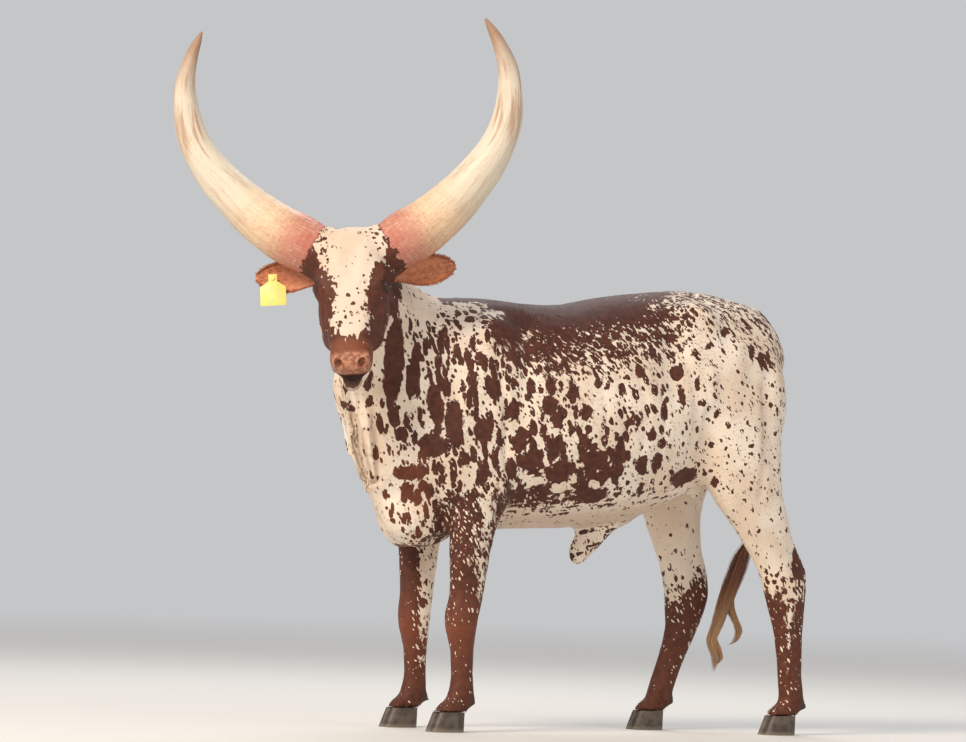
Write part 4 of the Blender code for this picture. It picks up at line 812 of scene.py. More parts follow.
def crease_shade(points, at):
    creases = np.zeros(len(points))
    front = in_frame(points, FRONT)[:, 1:]
    for line, depth in DEWLAP_FOLDS:
        if depth < 0:
            creases = np.maximum(creases, np.exp(-((gap_to_line(front, line) / 0.006) ** 2)))
    creases *= at.area(x=(-0.36, -0.42), z=(0.70, 0.76, 1.16, 1.24))
    for fold, (line, reach, depth) in zip(throat_weights(points), THROAT_FOLDS):
        if depth < 0:
            creases = np.maximum(creases, fold)
    return creases


def paint_markings(points, normals):
    """Per point: darkness and other tones, the painted shade, and how far it lies in each zone of the coat.
    """
    at = Places(points)
    near_side = at.y < BODY_CENTRE.y
    belly = at.area(z=(0.80, 0.74), x=(-0.16, -0.10, 0.52, 0.62))
    under = step(normals[:, 2], -0.60, -0.90)
    fore = np.where(near_side, at.area(z=(0.76, 0.69)), at.area(z=(0.64, 0.59))) * at.area(x=(-0.02, -0.06))
    fore *= np.maximum(at.area(x=(-0.285, -0.245), aside=(0.07, 0.10)), at.area(z=(0.58, 0.54)))
    hind = at.area(x=(0.56, 0.60), z=(0.80, 0.74))
    fore_dark, hind_dark = leg_darkness(at, near_side)
    dark = trunk_darkness(at, belly, under)
    dark = dark * (1 - fore) + fore_dark * fore
    dark = dark * (1 - hind) + hind_dark * hind
    tail_end = at.area(x=(0.86, 0.90), z=(0.50, 0.54, 0.78, 0.82), inward=(-0.040, -0.025))
    dark = np.maximum(dark, tail_end * 2.4 - 0.8)
    dark = dark * (1 - at.head) + face_darkness(at) * at.head

    rust = np.maximum(np.interp(at.z, *RUST_FORE) * fore, np.interp(at.z, *RUST_HIND) * hind)
    rust = np.maximum(rust, 0.42 * at.head * at.area(along=(0.35, 0.39)))
    rust = np.maximum(rust, np.maximum(0.10 * at.head, 0.05))
    rust = np.maximum(rust, 0.22 * at.area(across=(436, 420), down=(450, 475)) * (1 - at.head))
    pad = at.area(along=(0.408, 0.424), out=(-0.082, -0.070), left=(0.062, 0.054))
    claw_gap = np.min([np.abs(at.x - place) for place in DEWCLAWS], axis=0)
    claw = (at.z < DEWCLAW_TOP) & (claw_gap < DEWCLAW_REACH)

    legs = np.maximum(fore, hind)
    back = at.area(below_back=(0.28, 0.20), x=(-0.05, 0.08)) * (1 - legs)
    bands = at.area(down=(500, 515)) * belly * (1 - legs)
    rump = at.area(across=(655, 720)) * (1 - back)
    specks = np.clip(np.maximum(legs, np.maximum(at.head, rump)), 0, 1)
    strokes = at.area(across=(515, 495)) * (1 - specks) * (1 - back)
    spots = np.clip(1 - back - bands - specks - strokes, 0, 1)
    # painted shade: the cream darkens under the belly, in the creases of dewlap and throat, and over the
    # whole head
    shade = np.maximum(under * belly, np.maximum(crease_shade(points, at), 0.55 * at.head))
    return {
        "zones": np.column_stack([strokes, back * (1 - at.head), spots, specks * (1 - bands)]),
        "tones": np.column_stack([dark * 0.25 + 0.5, bands, rust, np.clip(black_skin_and_shade(at), 0, 1)]),
        "bits": np.column_stack([pad, claw, np.maximum(legs, at.head), shade]),
    }


def write_colours(mesh, fields):
    for name, values in fields.items():
        layer = mesh.color_attributes.new(name, "FLOAT_COLOR", "POINT")
        layer.data.foreach_set("color", np.clip(values, 0, 1).astype(np.float32).ravel())


markings = paint_markings(surface.points, surface.normals)
write_colours(skin.data, markings)

WHITE, CREAM, SHADED_CREAM = (0.82, 0.71, 0.59), (0.72, 0.575, 0.445), (0.52, 0.38, 0.28)
MAHOGANY, DARK_BROWN = (0.088, 0.024, 0.013), (0.044, 0.013, 0.008)
RUST, NEAR_BLACK = (0.34, 0.095, 0.038), (0.014, 0.009, 0.007)
PAD_PINK, PAD_BROWN, DEWCLAW = (0.50, 0.225, 0.135), (0.27, 0.10, 0.055), (0.05, 0.035, 0.028)


def coat_paint(name, depth):
    """Hide and hair share this paint: cells of spots over the painted darkness, then the bare parts."""
    paint = Paint(name, 0.62)
    strokes, streaks, spots, specks = paint.split("zones")
    dark, bands, rust, black_and_shade = paint.split("tones")
    # the last bit is painted shade: under the belly, in the creases of dewlap and throat, and over the head
    pad, claw, down_hair, under = paint.split("bits")
    wobble = paint.add("ShaderNodeVectorMath", operation="MULTIPLY_ADD")
    paint.set(wobble, 0, paint.noise(34, 3.0, kind="Color"))
    paint.set(wobble, 1, (0.017, 0.017, 0.022))
    paint.set(wobble, 2, paint.place)
    dark = paint.times(paint.math("SUBTRACT", dark, 0.5), 4.0)

    def blots(size, lean, reach, fall):
        """Rounded blots, one to a cell and each of its own size, on cells that lean back by this much."""
        distance, colour = paint.cells(paint.stretch(size, wobble.outputs[0], (0, math.radians(lean), 0)))
        pick = paint.add("ShaderNodeSeparateColor")
        paint.set(pick, 0, colour)
        return paint.scaled(pick.outputs[0], 0.8, paint.scaled(distance, -fall, reach))

    # spots of each zone, then specks between them, and white flecks within the brown
    spotted = 0.0
    for weight, size, lean in ((strokes, (0.023, 0.025, 0.062), -6), (streaks, (0.017, 0.021, 0.050), -46),
                               (spots, (0.030, 0.034, 0.048), -18), (specks, (0.026, 0.026, 0.031), -12),
                               (bands, (0.016, 0.024, 0.070), 78)):
        spotted = paint.scaled(blots(size, lean, 0.34, 2.3), weight, spotted)
    spotted = paint.scaled(paint.math("MINIMUM", dark, 0.3), 0.95, spotted)
    middling = paint.scaled(dark, 0.9, blots((0.019, 0.019, 0.034), -26, 0.16, 2.4))
    specked = paint.scaled(dark, 0.6, blots((0.0125, 0.0125, 0.021), -30, 0.10, 2.5))
    spotted = paint.math("MAXIMUM", spotted, paint.math("MAXIMUM", middling, specked))
    flecked = paint.scaled(dark, -0.9, blots((0.0085, 0.0095, 0.026), -32, 0.12, 2.3))
    clusters = paint.grain((0.055, 0.055, 0.11), 2.0)
    flecked = paint.scaled(paint.math("SUBTRACT", clusters, 0.36), 1.3, flecked)
    flecked = paint.scaled(paint.math("ADD", spots, strokes), -0.45, flecked)
    flecked = paint.scaled(down_hair, 0.20, flecked)

    # patches with ragged edges, which slant along the back
    ragged = paint.grain((0.011, 0.013, 0.040), 3.0, 0.6, turn=(0, math.radians(-16), 0))
    slanted = paint.grain((0.012, 0.014, 0.050), 2.0, 0.6, turn=(0, math.radians(-48), 0))
    ragged = paint.times(paint.math("SUBTRACT", ragged, 0.5), 0.7)
    slanted = paint.times(paint.math("SUBTRACT", slanted, 0.5), 2.0)
    ragged = paint.math("ADD", ragged, paint.times(slanted, streaks))
    patched = paint.math("ADD", ragged, paint.math("SUBTRACT", dark, 0.34))

    # single hairs run along the body and down the legs, and fray every edge
    hair_body = paint.grain((0.010, 0.0014, 0.0016), 2.0, turn=(0, math.radians(12), 0), kind="Color")
    hair_down = paint.grain((0.0014, 0.0014, 0.010), 2.0, kind="Color")
    hair = paint.math("ADD", paint.mix(down_hair, hair_body, hair_down), 0.0)
    total = paint.math("MAXIMUM", patched, spotted)
    total = paint.math("MINIMUM", total, paint.times(flecked, -1.0))
    total = paint.math("ADD", total, paint.scaled(hair, 0.17, -0.085))
    brown = paint.ramp(total, -0.05, 0.05)

    white = paint.mix(paint.ramp(paint.noise(7, 3.0), 0.35, 0.65), WHITE, CREAM)
    # painted shade: the cream goes towards SHADED_CREAM where the shade bit is high
    white = paint.mix(paint.times(under, 0.75), white, SHADED_CREAM)
    mahogany = paint.mix(paint.ramp(paint.noise(60, 2.0), 0.3, 0.7), MAHOGANY, DARK_BROWN)
    mahogany = paint.mix(rust, mahogany, RUST)
    colour = paint.mix(brown, white, mahogany)
    # near black round the eyes, in the nostrils and between the lips: partly dark skin, partly painted shade
    colour = paint.mix(black_and_shade, colour, NEAR_BLACK)
    pad_tone = paint.mix(paint.ramp(paint.noise(90, 3.0), 0.40, 0.62), PAD_PINK, PAD_BROWN)
    colour = paint.mix(paint.times(pad, paint.math("SUBTRACT", 1.0, black_and_shade)), colour, pad_tone)
    colour = paint.mix(claw, colour, DEWCLAW)
    shade = paint.scaled(hair, 0.5, 0.74)
    grey = paint.add("ShaderNodeCombineColor")
    for i in range(3):
        paint.set(grey, i, shade)
    colour = paint.mix(1.0, colour, grey.outputs[0], "MULTIPLY")
    paint.set(paint.shader, "Base Color", colour)
    paint.set(paint.shader, "Roughness", paint.ramp(pad, 0.0, 1.0, 0.60, 0.38))
    paint.shader.inputs["Sheen Weight"].default_value = 0.03
    paint.shader.inputs["Specular IOR Level"].default_value = 0.28
    paint.shader.inputs["Sheen Roughness"].default_value = 0.4
    pebble = paint.cells(paint.stretch((0.0035, 0.0035, 0.0035)))[0]
    relief = paint.bump(hair, depth)
    relief = paint.bump(paint.times(pebble, pad), 0.0012, under=relief)
    paint.set(paint.shader, "Normal", relief)
    return paint.material


hide = coat_paint("hide", 0.0008)
skin.data.materials.append(hide)

# Coat: short, sleek hair that lies flat along the body. Tufts are thin closed blades that follow the lie of
# the hair, so that outlines and the edges of the markings break up as hair does. They carry the skin's paint.
COAT_SEED = 11
TUFTS_A_PIECE = 19000
TUFT_WIDTH, TUFT_LIFT, TUFT_SWAY, TUFT_DISORDER = 0.0011, 0.10, 0.15, 0.13
ROOT_DEPTH = 0.0012
BARE_EYE, BARE_NOSTRIL = 0.026, 0.020
TUFTS_ON_BODY, MORE_ON_HEAD = 12000, 22000
HEAD_HAIR = 0.0065
BODY_HAIR = ([0.0, 0.10, 0.16, 0.60, 0.80, 2.0], [0.016, 0.018, 0.010, 0.011, 0.014, 0.014])
BAKE_SPOT = 0.0015


def strand_mesh(name, rows, sides, thickness, fields, places):
    """Tapered closed strands. Rows hold each strand's centres, half widths, across and outward directions,
    from root to tip; fields give every strand its colours and places its spot on the hide's unwrap."""
    centres, widths, across, outward = rows
    count, rings = widths.shape
    turns = math.tau * (np.arange(sides) + 0.5) / sides
    ring = (centres[:, :-1, None] + across[:, None, None] * (widths[:, :-1, None] * np.cos(turns))[..., None]
            + outward[:, None, None] * (widths[:, :-1, None] * np.sin(turns) * thickness)[..., None])
    body = ring.reshape(count, -1, 3)
    points = np.concatenate([body, centres[:, -1:]], axis=1)
    per_strand = points.shape[1]
    faces = []
    for k in range(1, sides - 1):
        faces.append((0, k + 1, k))
    for i in range(rings - 2):
        for j in range(sides):
            a, b = i * sides + j, i * sides + (j + 1) % sides
            faces += [(a, b, b + sides), (a, b + sides, a + sides)]
    last = (rings - 2) * sides
    for j in range(sides):
        faces.append((last + j, last + (j + 1) % sides, per_strand - 1))
    faces = np.array(faces)
    every = (faces[None] + (np.arange(count) * per_strand)[:, None, None]).reshape(-1, 3)
    mesh = bpy.data.meshes.new(name)
    mesh.vertices.add(count * per_strand)
    mesh.vertices.foreach_set("co", points.astype(np.float32).ravel())
    mesh.loops.add(every.size)
    mesh.loops.foreach_set("vertex_index", every.astype(np.int32).ravel())
    mesh.polygons.add(len(every))
    mesh.polygons.foreach_set("loop_start", np.arange(0, every.size, 3, dtype=np.int32))
    mesh.update(calc_edges=True)
    mesh.validate()
    write_colours(mesh, {key: np.repeat(values, per_strand, axis=0) for key, values in fields.items()})
    patch = np.array([(math.cos(t), math.sin(t)) for t in turns]) * BAKE_SPOT
    smaller = np.repeat(np.linspace(1, 0.5, rings - 1), sides)[:, None]
    offsets = np.concatenate([np.tile(patch, (rings - 1, 1)) * smaller, np.zeros((1, 2))])
    spots = (places[:, None] + offsets[None]).reshape(-1, 2)
    layer = mesh.uv_layers.new(name="OFBake")
    layer.data.foreach_set("uv", spots[every.ravel()].astype(np.float32).ravel())
    mesh.shade_smooth()
    made = bpy.data.objects.new(name, mesh)
    bpy.context.scene.collection.objects.link(made)
    return made


def unwrap(obj):
    pick_only(obj)
    bpy.ops.object.mode_set(mode="EDIT")
    bpy.ops.mesh.select_all(action="SELECT")
    bpy.ops.uv.smart_project(angle_limit=math.radians(66), island_margin=0.002)
    bpy.ops.object.mode_set(mode="OBJECT")


class Ground:
    """The skin as triangles that roots are drawn from: places, normals, colours and spots on the unwrap."""

    def __init__(self, obj, fields):
        mesh = obj.data
        mesh.calc_loop_triangles()
        corners, loops = np.empty((2, len(mesh.loop_triangles) * 3), np.int32)
        mesh.loop_triangles.foreach_get("vertices", corners)
        mesh.loop_triangles.foreach_get("loops", loops)
        self.corners = corners.reshape(-1, 3)
        uvs = np.empty(len(mesh.loops) * 2)
        mesh.uv_layers.active.data.foreach_get("uv", uvs)
        self.uvs = uvs.reshape(-1, 2)[loops].reshape(-1, 3, 2)
        self.points = surface.points
        self.normals = surface.normals
        self.fields = fields
        a, b, c = (self.points[self.corners[:, i]] for i in range(3))
        self.areas = np.linalg.norm(np.cross(b - a, c - a), axis=1) / 2
        self.middles = (a + b + c) / 3

    def draw(self, density, draw):
        """Roots drawn with this density, in strands to a square metre, of each triangle."""
        wanted = self.areas * density
        count = np.floor(wanted + draw.random(len(wanted))).astype(int)
        picked = np.repeat(np.arange(len(wanted)), count)
        share = draw.random((len(picked), 2))
        share = np.where(share.sum(1, keepdims=True) > 1, 1 - share, share)
        weights = np.column_stack([1 - share.sum(1), share])
        corners = self.corners[picked]
        blend = {key: (values[corners] * weights[..., None]).sum(1) for key, values in self.fields.items()}
        places = (self.points[corners] * weights[..., None]).sum(1)
        normals = (self.normals[corners] * weights[..., None]).sum(1)
        normals /= np.linalg.norm(normals, axis=1, keepdims=True)
        spots = (self.uvs[picked] * weights[..., None]).sum(1)
        return places, normals, blend, spots


def lie_of_hair(points):
    """Which way the hair runs: back and down the trunk, down the legs, from the brow up and down the face."""
    x, y, z = points.T
    trunk = np.tile(np.array([1.0, 0, -0.30]), (len(points), 1))
    neck = step(x, -0.15, -0.35)[:, None]
    trunk = trunk * (1 - neck) + np.array([0.35, 0, -1.0]) * neck
    low = step(z, 0.72, 0.60)[:, None]
    way = trunk * (1 - low) + np.array([0.12, 0, -1.0]) * low
    tail = (step(x, 0.90, 0.94) * step(np.abs(y - BODY_CENTRE.y), 0.05, 0.03))[:, None]
    way = way * (1 - tail) + np.array([0.0, 0, -1.0]) * tail
    local = in_frame(points, HEAD)
    down_face = np.array(HEAD.col[2].xyz)
    outwards = np.sign(local[:, :1]) * np.array(HEAD.col[0].xyz) * 0.35
    face = down_face * np.clip((local[:, 2:] - 0.14) / 0.05, -1, 1) + outwards
    head = head_share(points)[:, None]
    return way * (1 - head) + face * head


def grow_coat(density, paint):
    """Tufts over the skin, in pieces, with a density for each triangle."""
    draw = np.random.default_rng(COAT_SEED)
    places, normals, blend, spots = ground.draw(density, draw)
    count = len(places)
    ways = lie_of_hair(places) + draw.normal(0, TUFT_DISORDER, (count, 3))
    ways -= normals * (ways * normals).sum(1, keepdims=True)
    ways /= np.maximum(np.linalg.norm(ways, axis=1, keepdims=True), 0.001)
    across = np.cross(normals, ways)
    head = head_share(places)
    hair = np.interp(places[:, 2], *BODY_HAIR) * (1 - head) + HEAD_HAIR * head
    long = (hair * draw.uniform(0.7, 1.3, count))[:, None]
    rise = (TUFT_LIFT * draw.uniform(0.6, 1.4, count))[:, None]
    sway = draw.normal(0, TUFT_SWAY, count)[:, None]
    shares = np.array([0.0, 0.5, 1.0])
    centres = np.stack([places - normals * ROOT_DEPTH + ways * long * t + normals * long * rise * t ** 0.8
                        + across * long * sway * t * t for t in shares], axis=1)
    widths = TUFT_WIDTH * draw.uniform(0.75, 1.25, count)[:, None] * np.array([[0.8, 1.0, 0.0]])
    for i, start in enumerate(range(0, count, TUFTS_A_PIECE)):
        part = slice(start, start + TUFTS_A_PIECE)
        rows = (centres[part], widths[part], across[part], normals[part])
        colours = {key: values[part] for key, values in blend.items()}
        piece = strand_mesh(f"coat_{i + 1}", rows, 3, 0.45, colours, spots[part])
        piece.data.materials.append(paint)
        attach(piece, "root")


unwrap(skin)
ground = Ground(skin, markings)
middle_local = as_left(in_frame(ground.middles, HEAD))
middle_head = step(head_share(ground.middles), 0.3, 0.7)
eye_near = np.linalg.norm(middle_local - EYE_PLACE, axis=1) < BARE_EYE
nostril_near = np.linalg.norm(middle_local - NOSTRIL_SEEN, axis=1) < BARE_NOSTRIL
pad_bits, claw_bits = (markings["bits"][ground.corners][..., i].max(1) for i in range(2))
bare = (pad_bits > 0.2) | eye_near | nostril_near | (claw_bits > 0.5)
grow_coat(np.where(bare, 0, TUFTS_ON_BODY + MORE_ON_HEAD * middle_head), coat_paint("fur", 0.0004))


# Horns: two long hollow sheaths of smooth, slightly ringed horn that stand on the skull's cores. They are
# pink with blood at the root, then yellow, bone white with tan streaks, and brown at the worn tips.
HORN_LINE = [
    # left, up, forward and radius, from inside the skin to the tip
    (0.100, -0.078, -0.076, 0.0720), (0.134, -0.056, -0.077, 0.0805), (0.172, -0.034, -0.080, 0.0830),
    (0.216, -0.009, -0.085, 0.0815), (0.285, 0.044, -0.092, 0.0735), (0.349, 0.106, -0.097, 0.0655),
    (0.409, 0.175, -0.098, 0.0580), (0.4535, 0.248, -0.094, 0.0500), (0.478, 0.319, -0.086, 0.0430),
    (0.486, 0.400, -0.073, 0.0355), (0.481, 0.462, -0.061, 0.0285), (0.457, 0.532, -0.046, 0.0190),
    (0.437, 0.572, -0.037, 0.0110), (0.424, 0.597, -0.031, 0.0030),
]
CROWN = head_axes(along_crown=True)
MERGE_GAP = 0.00001
RING_DEPTH, WEAR_DEPTH, GRAIN_RADIUS = 0.0007, 0.0012, 0.12


def horn_paint():
    paint = Paint("horn", 0.5)
    share, ring = paint.split("growth")[:2]
    grain = paint.attribute("grain")
    fibres = paint.grain((0.085, 0.010, 0.010), 4.0, 0.65, grain)
    streaks = paint.grain((0.16, 0.030, 0.030), 4.0, 0.6, grain)
    blotches = paint.grain((0.05, 0.05, 0.05), 3.0, 0.5, grain)
    grains = paint.grain((0.014, 0.007, 0.007), 2.0, 0.7, grain)
    early = paint.ramp(share, 0.34, 0.12)
    along = paint.math("ADD", share, paint.scaled(blotches, 0.12, -0.06))
    colour = paint.mix(paint.ramp(along, 0.05, 0.20), (0.56, 0.225, 0.160), (0.74, 0.53, 0.34))
    colour = paint.mix(paint.ramp(along, 0.18, 0.40), colour, (0.70, 0.615, 0.49))
    colour = paint.mix(paint.ramp(along, 0.74, 0.97), colour, (0.36, 0.21, 0.135))
    stain = paint.times(paint.ramp(streaks, 0.50, 0.68), paint.ramp(share, 0.15, 0.75, 0.35, 0.85))
    dark_grains = paint.times(paint.ramp(grains, 0.52, 0.66), paint.times(early, 0.55))
    pale_grains = paint.times(paint.ramp(grains, 0.44, 0.32), paint.times(early, 0.5))
    flush = paint.times(paint.ramp(blotches, 0.42, 0.62), paint.ramp(share, 0.20, 0.06))
    for amount, tone in ((stain, (0.44, 0.25, 0.15)),
                         (paint.ramp(fibres, 0.56, 0.74, 0.0, 0.55), (0.40, 0.235, 0.15)),
                         (paint.ramp(fibres, 0.44, 0.28, 0.0, 0.35), (0.82, 0.76, 0.66)),
                         (dark_grains, (0.42, 0.13, 0.085)),
                         (pale_grains, (0.78, 0.56, 0.34)),
                         (paint.ramp(grains, 0.58, 0.72, 0.0, 0.35), (0.46, 0.30, 0.19)),
                         (paint.times(flush, 0.55), (0.50, 0.13, 0.10))):
        colour = paint.mix(amount, colour, tone)
    grey = paint.mix(paint.ramp(ring, 0.0, 1.0), (0.88, 0.87, 0.86), (1.0, 1.0, 1.0))
    colour = paint.mix(paint.ramp(share, 0.5, 0.1), colour, paint.mix(1.0, colour, grey, "MULTIPLY"))
    paint.set(paint.shader, "Base Color", colour)
    paint.set(paint.shader, "Roughness", paint.ramp(fibres, 0.3, 0.7, 0.40, 0.62))
    paint.set(paint.shader, "Normal", paint.bump(fibres, 0.0016))
    paint.shader.inputs["Specular IOR Level"].default_value = 0.4
    return paint.material


def write_places(mesh, name, values):
    layer = mesh.attributes.new(name, "FLOAT_VECTOR", "POINT")
    layer.data.foreach_set("vector", values.astype(np.float32).ravel())


def turn_outwards(obj):
    pick_only(obj)
    bpy.ops.object.mode_set(mode="EDIT")
    bpy.ops.mesh.select_all(action="SELECT")
    bpy.ops.mesh.remove_doubles(threshold=MERGE_GAP)
    bpy.ops.mesh.normals_make_consistent(inside=False)
    bpy.ops.object.mode_set(mode="OBJECT")


def make_horn(name, side):
    rows = smooth_line([(left * side, forward, up, radius) for left, up, forward, radius in HORN_LINE], 7)
    bpy.ops.curve.primitive_bezier_curve_add()
    horn = bpy.context.active_object
    horn.name = name + "_sheath"
    line = horn.data
    line.splines.clear()
    spline = line.splines.new("POLY")
    spline.points.add(len(rows) - 1)
    widest = rows[:, 3].max()
    for point, row in zip(spline.points, rows):
        point.co = (*(CROWN @ Vector(row[:3])), 1)
        point.radius = row[3] / widest
    line.dimensions = "3D"
    line.bevel_depth = widest
    line.bevel_resolution = 12
    line.use_fill_caps = True
    pick_only(horn)
    bpy.ops.object.convert(target="MESH")
    turn_outwards(horn)
    shape = Surface(horn)
    local = in_frame(shape.points, CROWN)
    starts = np.concatenate([[0], np.cumsum(np.linalg.norm(np.diff(rows[:, :3], axis=0), axis=1))])
    nearest = np.argmin(((local[:, None] - rows[None, :, :3]) ** 2).sum(2), axis=1)
    share = starts[nearest] / starts[-1]
    away = local - rows[nearest, :3]
    turn = np.arctan2(away[:, 1], away[:, 0] * side - away[:, 2] * 0.5)
    # growth rings, strongest near the root, and the worn, uneven surface
    metres = starts[nearest]
    rings = np.sin(metres * 420 + 1.5 * np.sin(metres * 61) + 0.4 * np.sin(turn * 2))
    wear = np.sin(turn * 3 + metres * 9) * np.sin(metres * 31 + turn)
    fade = step(share, 0.62, 0.10) * step(share, 0.0, 0.05)
    height = rings * RING_DEPTH * fade + wear * WEAR_DEPTH * step(share, 1.0, 0.8)
    shape.points += shape.normals * height[:, None]
    shape.refresh()
    growth = np.column_stack([share, rings * 0.5 + 0.5, np.zeros(len(share)), np.ones(len(share))])
    write_colours(horn.data, {"growth": growth})
    around = np.cos(turn) * GRAIN_RADIUS, np.sin(turn) * GRAIN_RADIUS
    write_places(horn.data, "grain", np.column_stack([metres, *around]))
    horn.data.shade_smooth()
    horn.data.materials.clear()
    horn.data.materials.append(horn_finish)
    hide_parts(name)
    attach(horn, "root")


horn_finish = horn_paint()
for name, side in (("horn_left", LEFT), ("horn_right", RIGHT)):
    make_horn(name, side)


# Eyes: dark wet globes with a wide, level pupil and a clear bulging cornea. They sit in the sockets and are
# held by the lids, which cover all but an almond of each.
GLOBE, CORNEA = 0.985, 0.03


def eye_paint():
    paint = Paint("eye", 0.10)
    sight = paint.attribute("sight")
    parts = paint.add("ShaderNodeSeparateXYZ")
    paint.set(parts, 0, sight)
    a, b, c = parts.outputs
    wide, tall = paint.times(a, a), paint.times(b, b)
    pupil = paint.ramp(paint.math("ADD", paint.times(wide, 4.4), paint.times(tall, 20.0)), 1.25, 0.80)
    ring = paint.math("SQRT", paint.math("ADD", wide, tall))
    rays = paint.grain((0.08, 0.08, 0.6), 2.0, 0.5, sight)
    iris = paint.mix(paint.ramp(rays, 0.3, 0.7), (0.075, 0.030, 0.014), (0.030, 0.012, 0.007))
    white = paint.mix(paint.ramp(ring, 0.80, 0.90), iris, (0.035, 0.022, 0.018))
    paint.set(paint.shader, "Base Color", paint.mix(pupil, white, (0.004, 0.004, 0.005)))
    paint.shader.inputs["Coat Weight"].default_value = 0.25
    paint.shader.inputs["Coat Roughness"].default_value = 0.03
    paint.shader.inputs["Specular IOR Level"].default_value = 0.35
    return paint.material


eye_finish = eye_paint()
for name, side in (("eye_left", LEFT), ("eye_right", RIGHT)):
    bpy.ops.object.select_all(action="DESELECT")
    bpy.ops.mesh.primitive_uv_sphere_add(segments=48, ring_count=32, radius=1)
    globe = bpy.context.active_object
    globe.name = name + "_globe"
    shape = Surface(globe)
    sight = shape.points.copy()
    bulge = step(sight[:, 2], 0.72, 0.95)
    shape.points = placed(sight * (EYE_RADIUS * (GLOBE + CORNEA * bulge))[:, None], eye_axes(side))
    shape.refresh()
    write_places(globe.data, "sight", sight)
    if eye_axes(side).determinant() < 0:
        globe.data.flip_normals()
    globe.data.shade_smooth()
    globe.data.materials.append(eye_finish)
    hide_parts(name)
    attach(globe, "root")


# Ears: leaf-shaped cups of thin gristle that grow from the head behind the horns and stand out sideways, with
# red hair outside, pink skin inside and a fringe along the rim.
EAR_ROOT = (0.096, -0.160, 0.096)
EAR_START, EAR_REACH, EAR_BEND, CUP_FLOOR = 0.010, 0.198, 0.012, 0.6
EAR_DROOP = {LEFT: 0.16, RIGHT: 0.11}
EAR_COLUMNS = 21
FRINGE_HAIRS, FRINGE_WIDTH, RIM_SHARE = 1500, 0.0009, 0.78
EAR_SHAPE = [
    # share of the length, half width, wall, depth of the cup
    (0.00, 0.017, 0.0140, 0.000), (0.12, 0.021, 0.0120, 0.004), (0.25, 0.032, 0.0080, 0.014),
    (0.40, 0.042, 0.0055, 0.020), (0.55, 0.0455, 0.0045, 0.021), (0.70, 0.041, 0.0038, 0.018),
    (0.84, 0.029, 0.0032, 0.012), (0.94, 0.015, 0.0028, 0.006), (1.00, 0.004, 0.0022, 0.001),
]


def ear_paint():
    paint = Paint("ear", 0.6)
    inside, rim = paint.split("ear")[:2]
    speck = paint.grain((0.012, 0.012, 0.012), 3.0)
    outer = paint.mix(paint.ramp(speck, 0.35, 0.65), (0.50, 0.160, 0.058), (0.38, 0.110, 0.042))
    inner = paint.mix(paint.ramp(speck, 0.35, 0.65), (0.62, 0.245, 0.125), (0.50, 0.17, 0.080))
    colour = paint.mix(inside, outer, inner)
    colour = paint.mix(paint.times(rim, 0.5), colour, (0.34, 0.10, 0.045))
    hair = paint.grain((0.010, 0.0014, 0.0014), 2.0)
    paint.set(paint.shader, "Base Color", colour)
    paint.set(paint.shader, "Normal", paint.bump(hair, 0.0008))
    paint.shader.inputs["Subsurface Weight"].default_value = 0.12
    paint.shader.inputs["Subsurface Radius"].default_value = (0.010, 0.004, 0.002)
    return paint.material


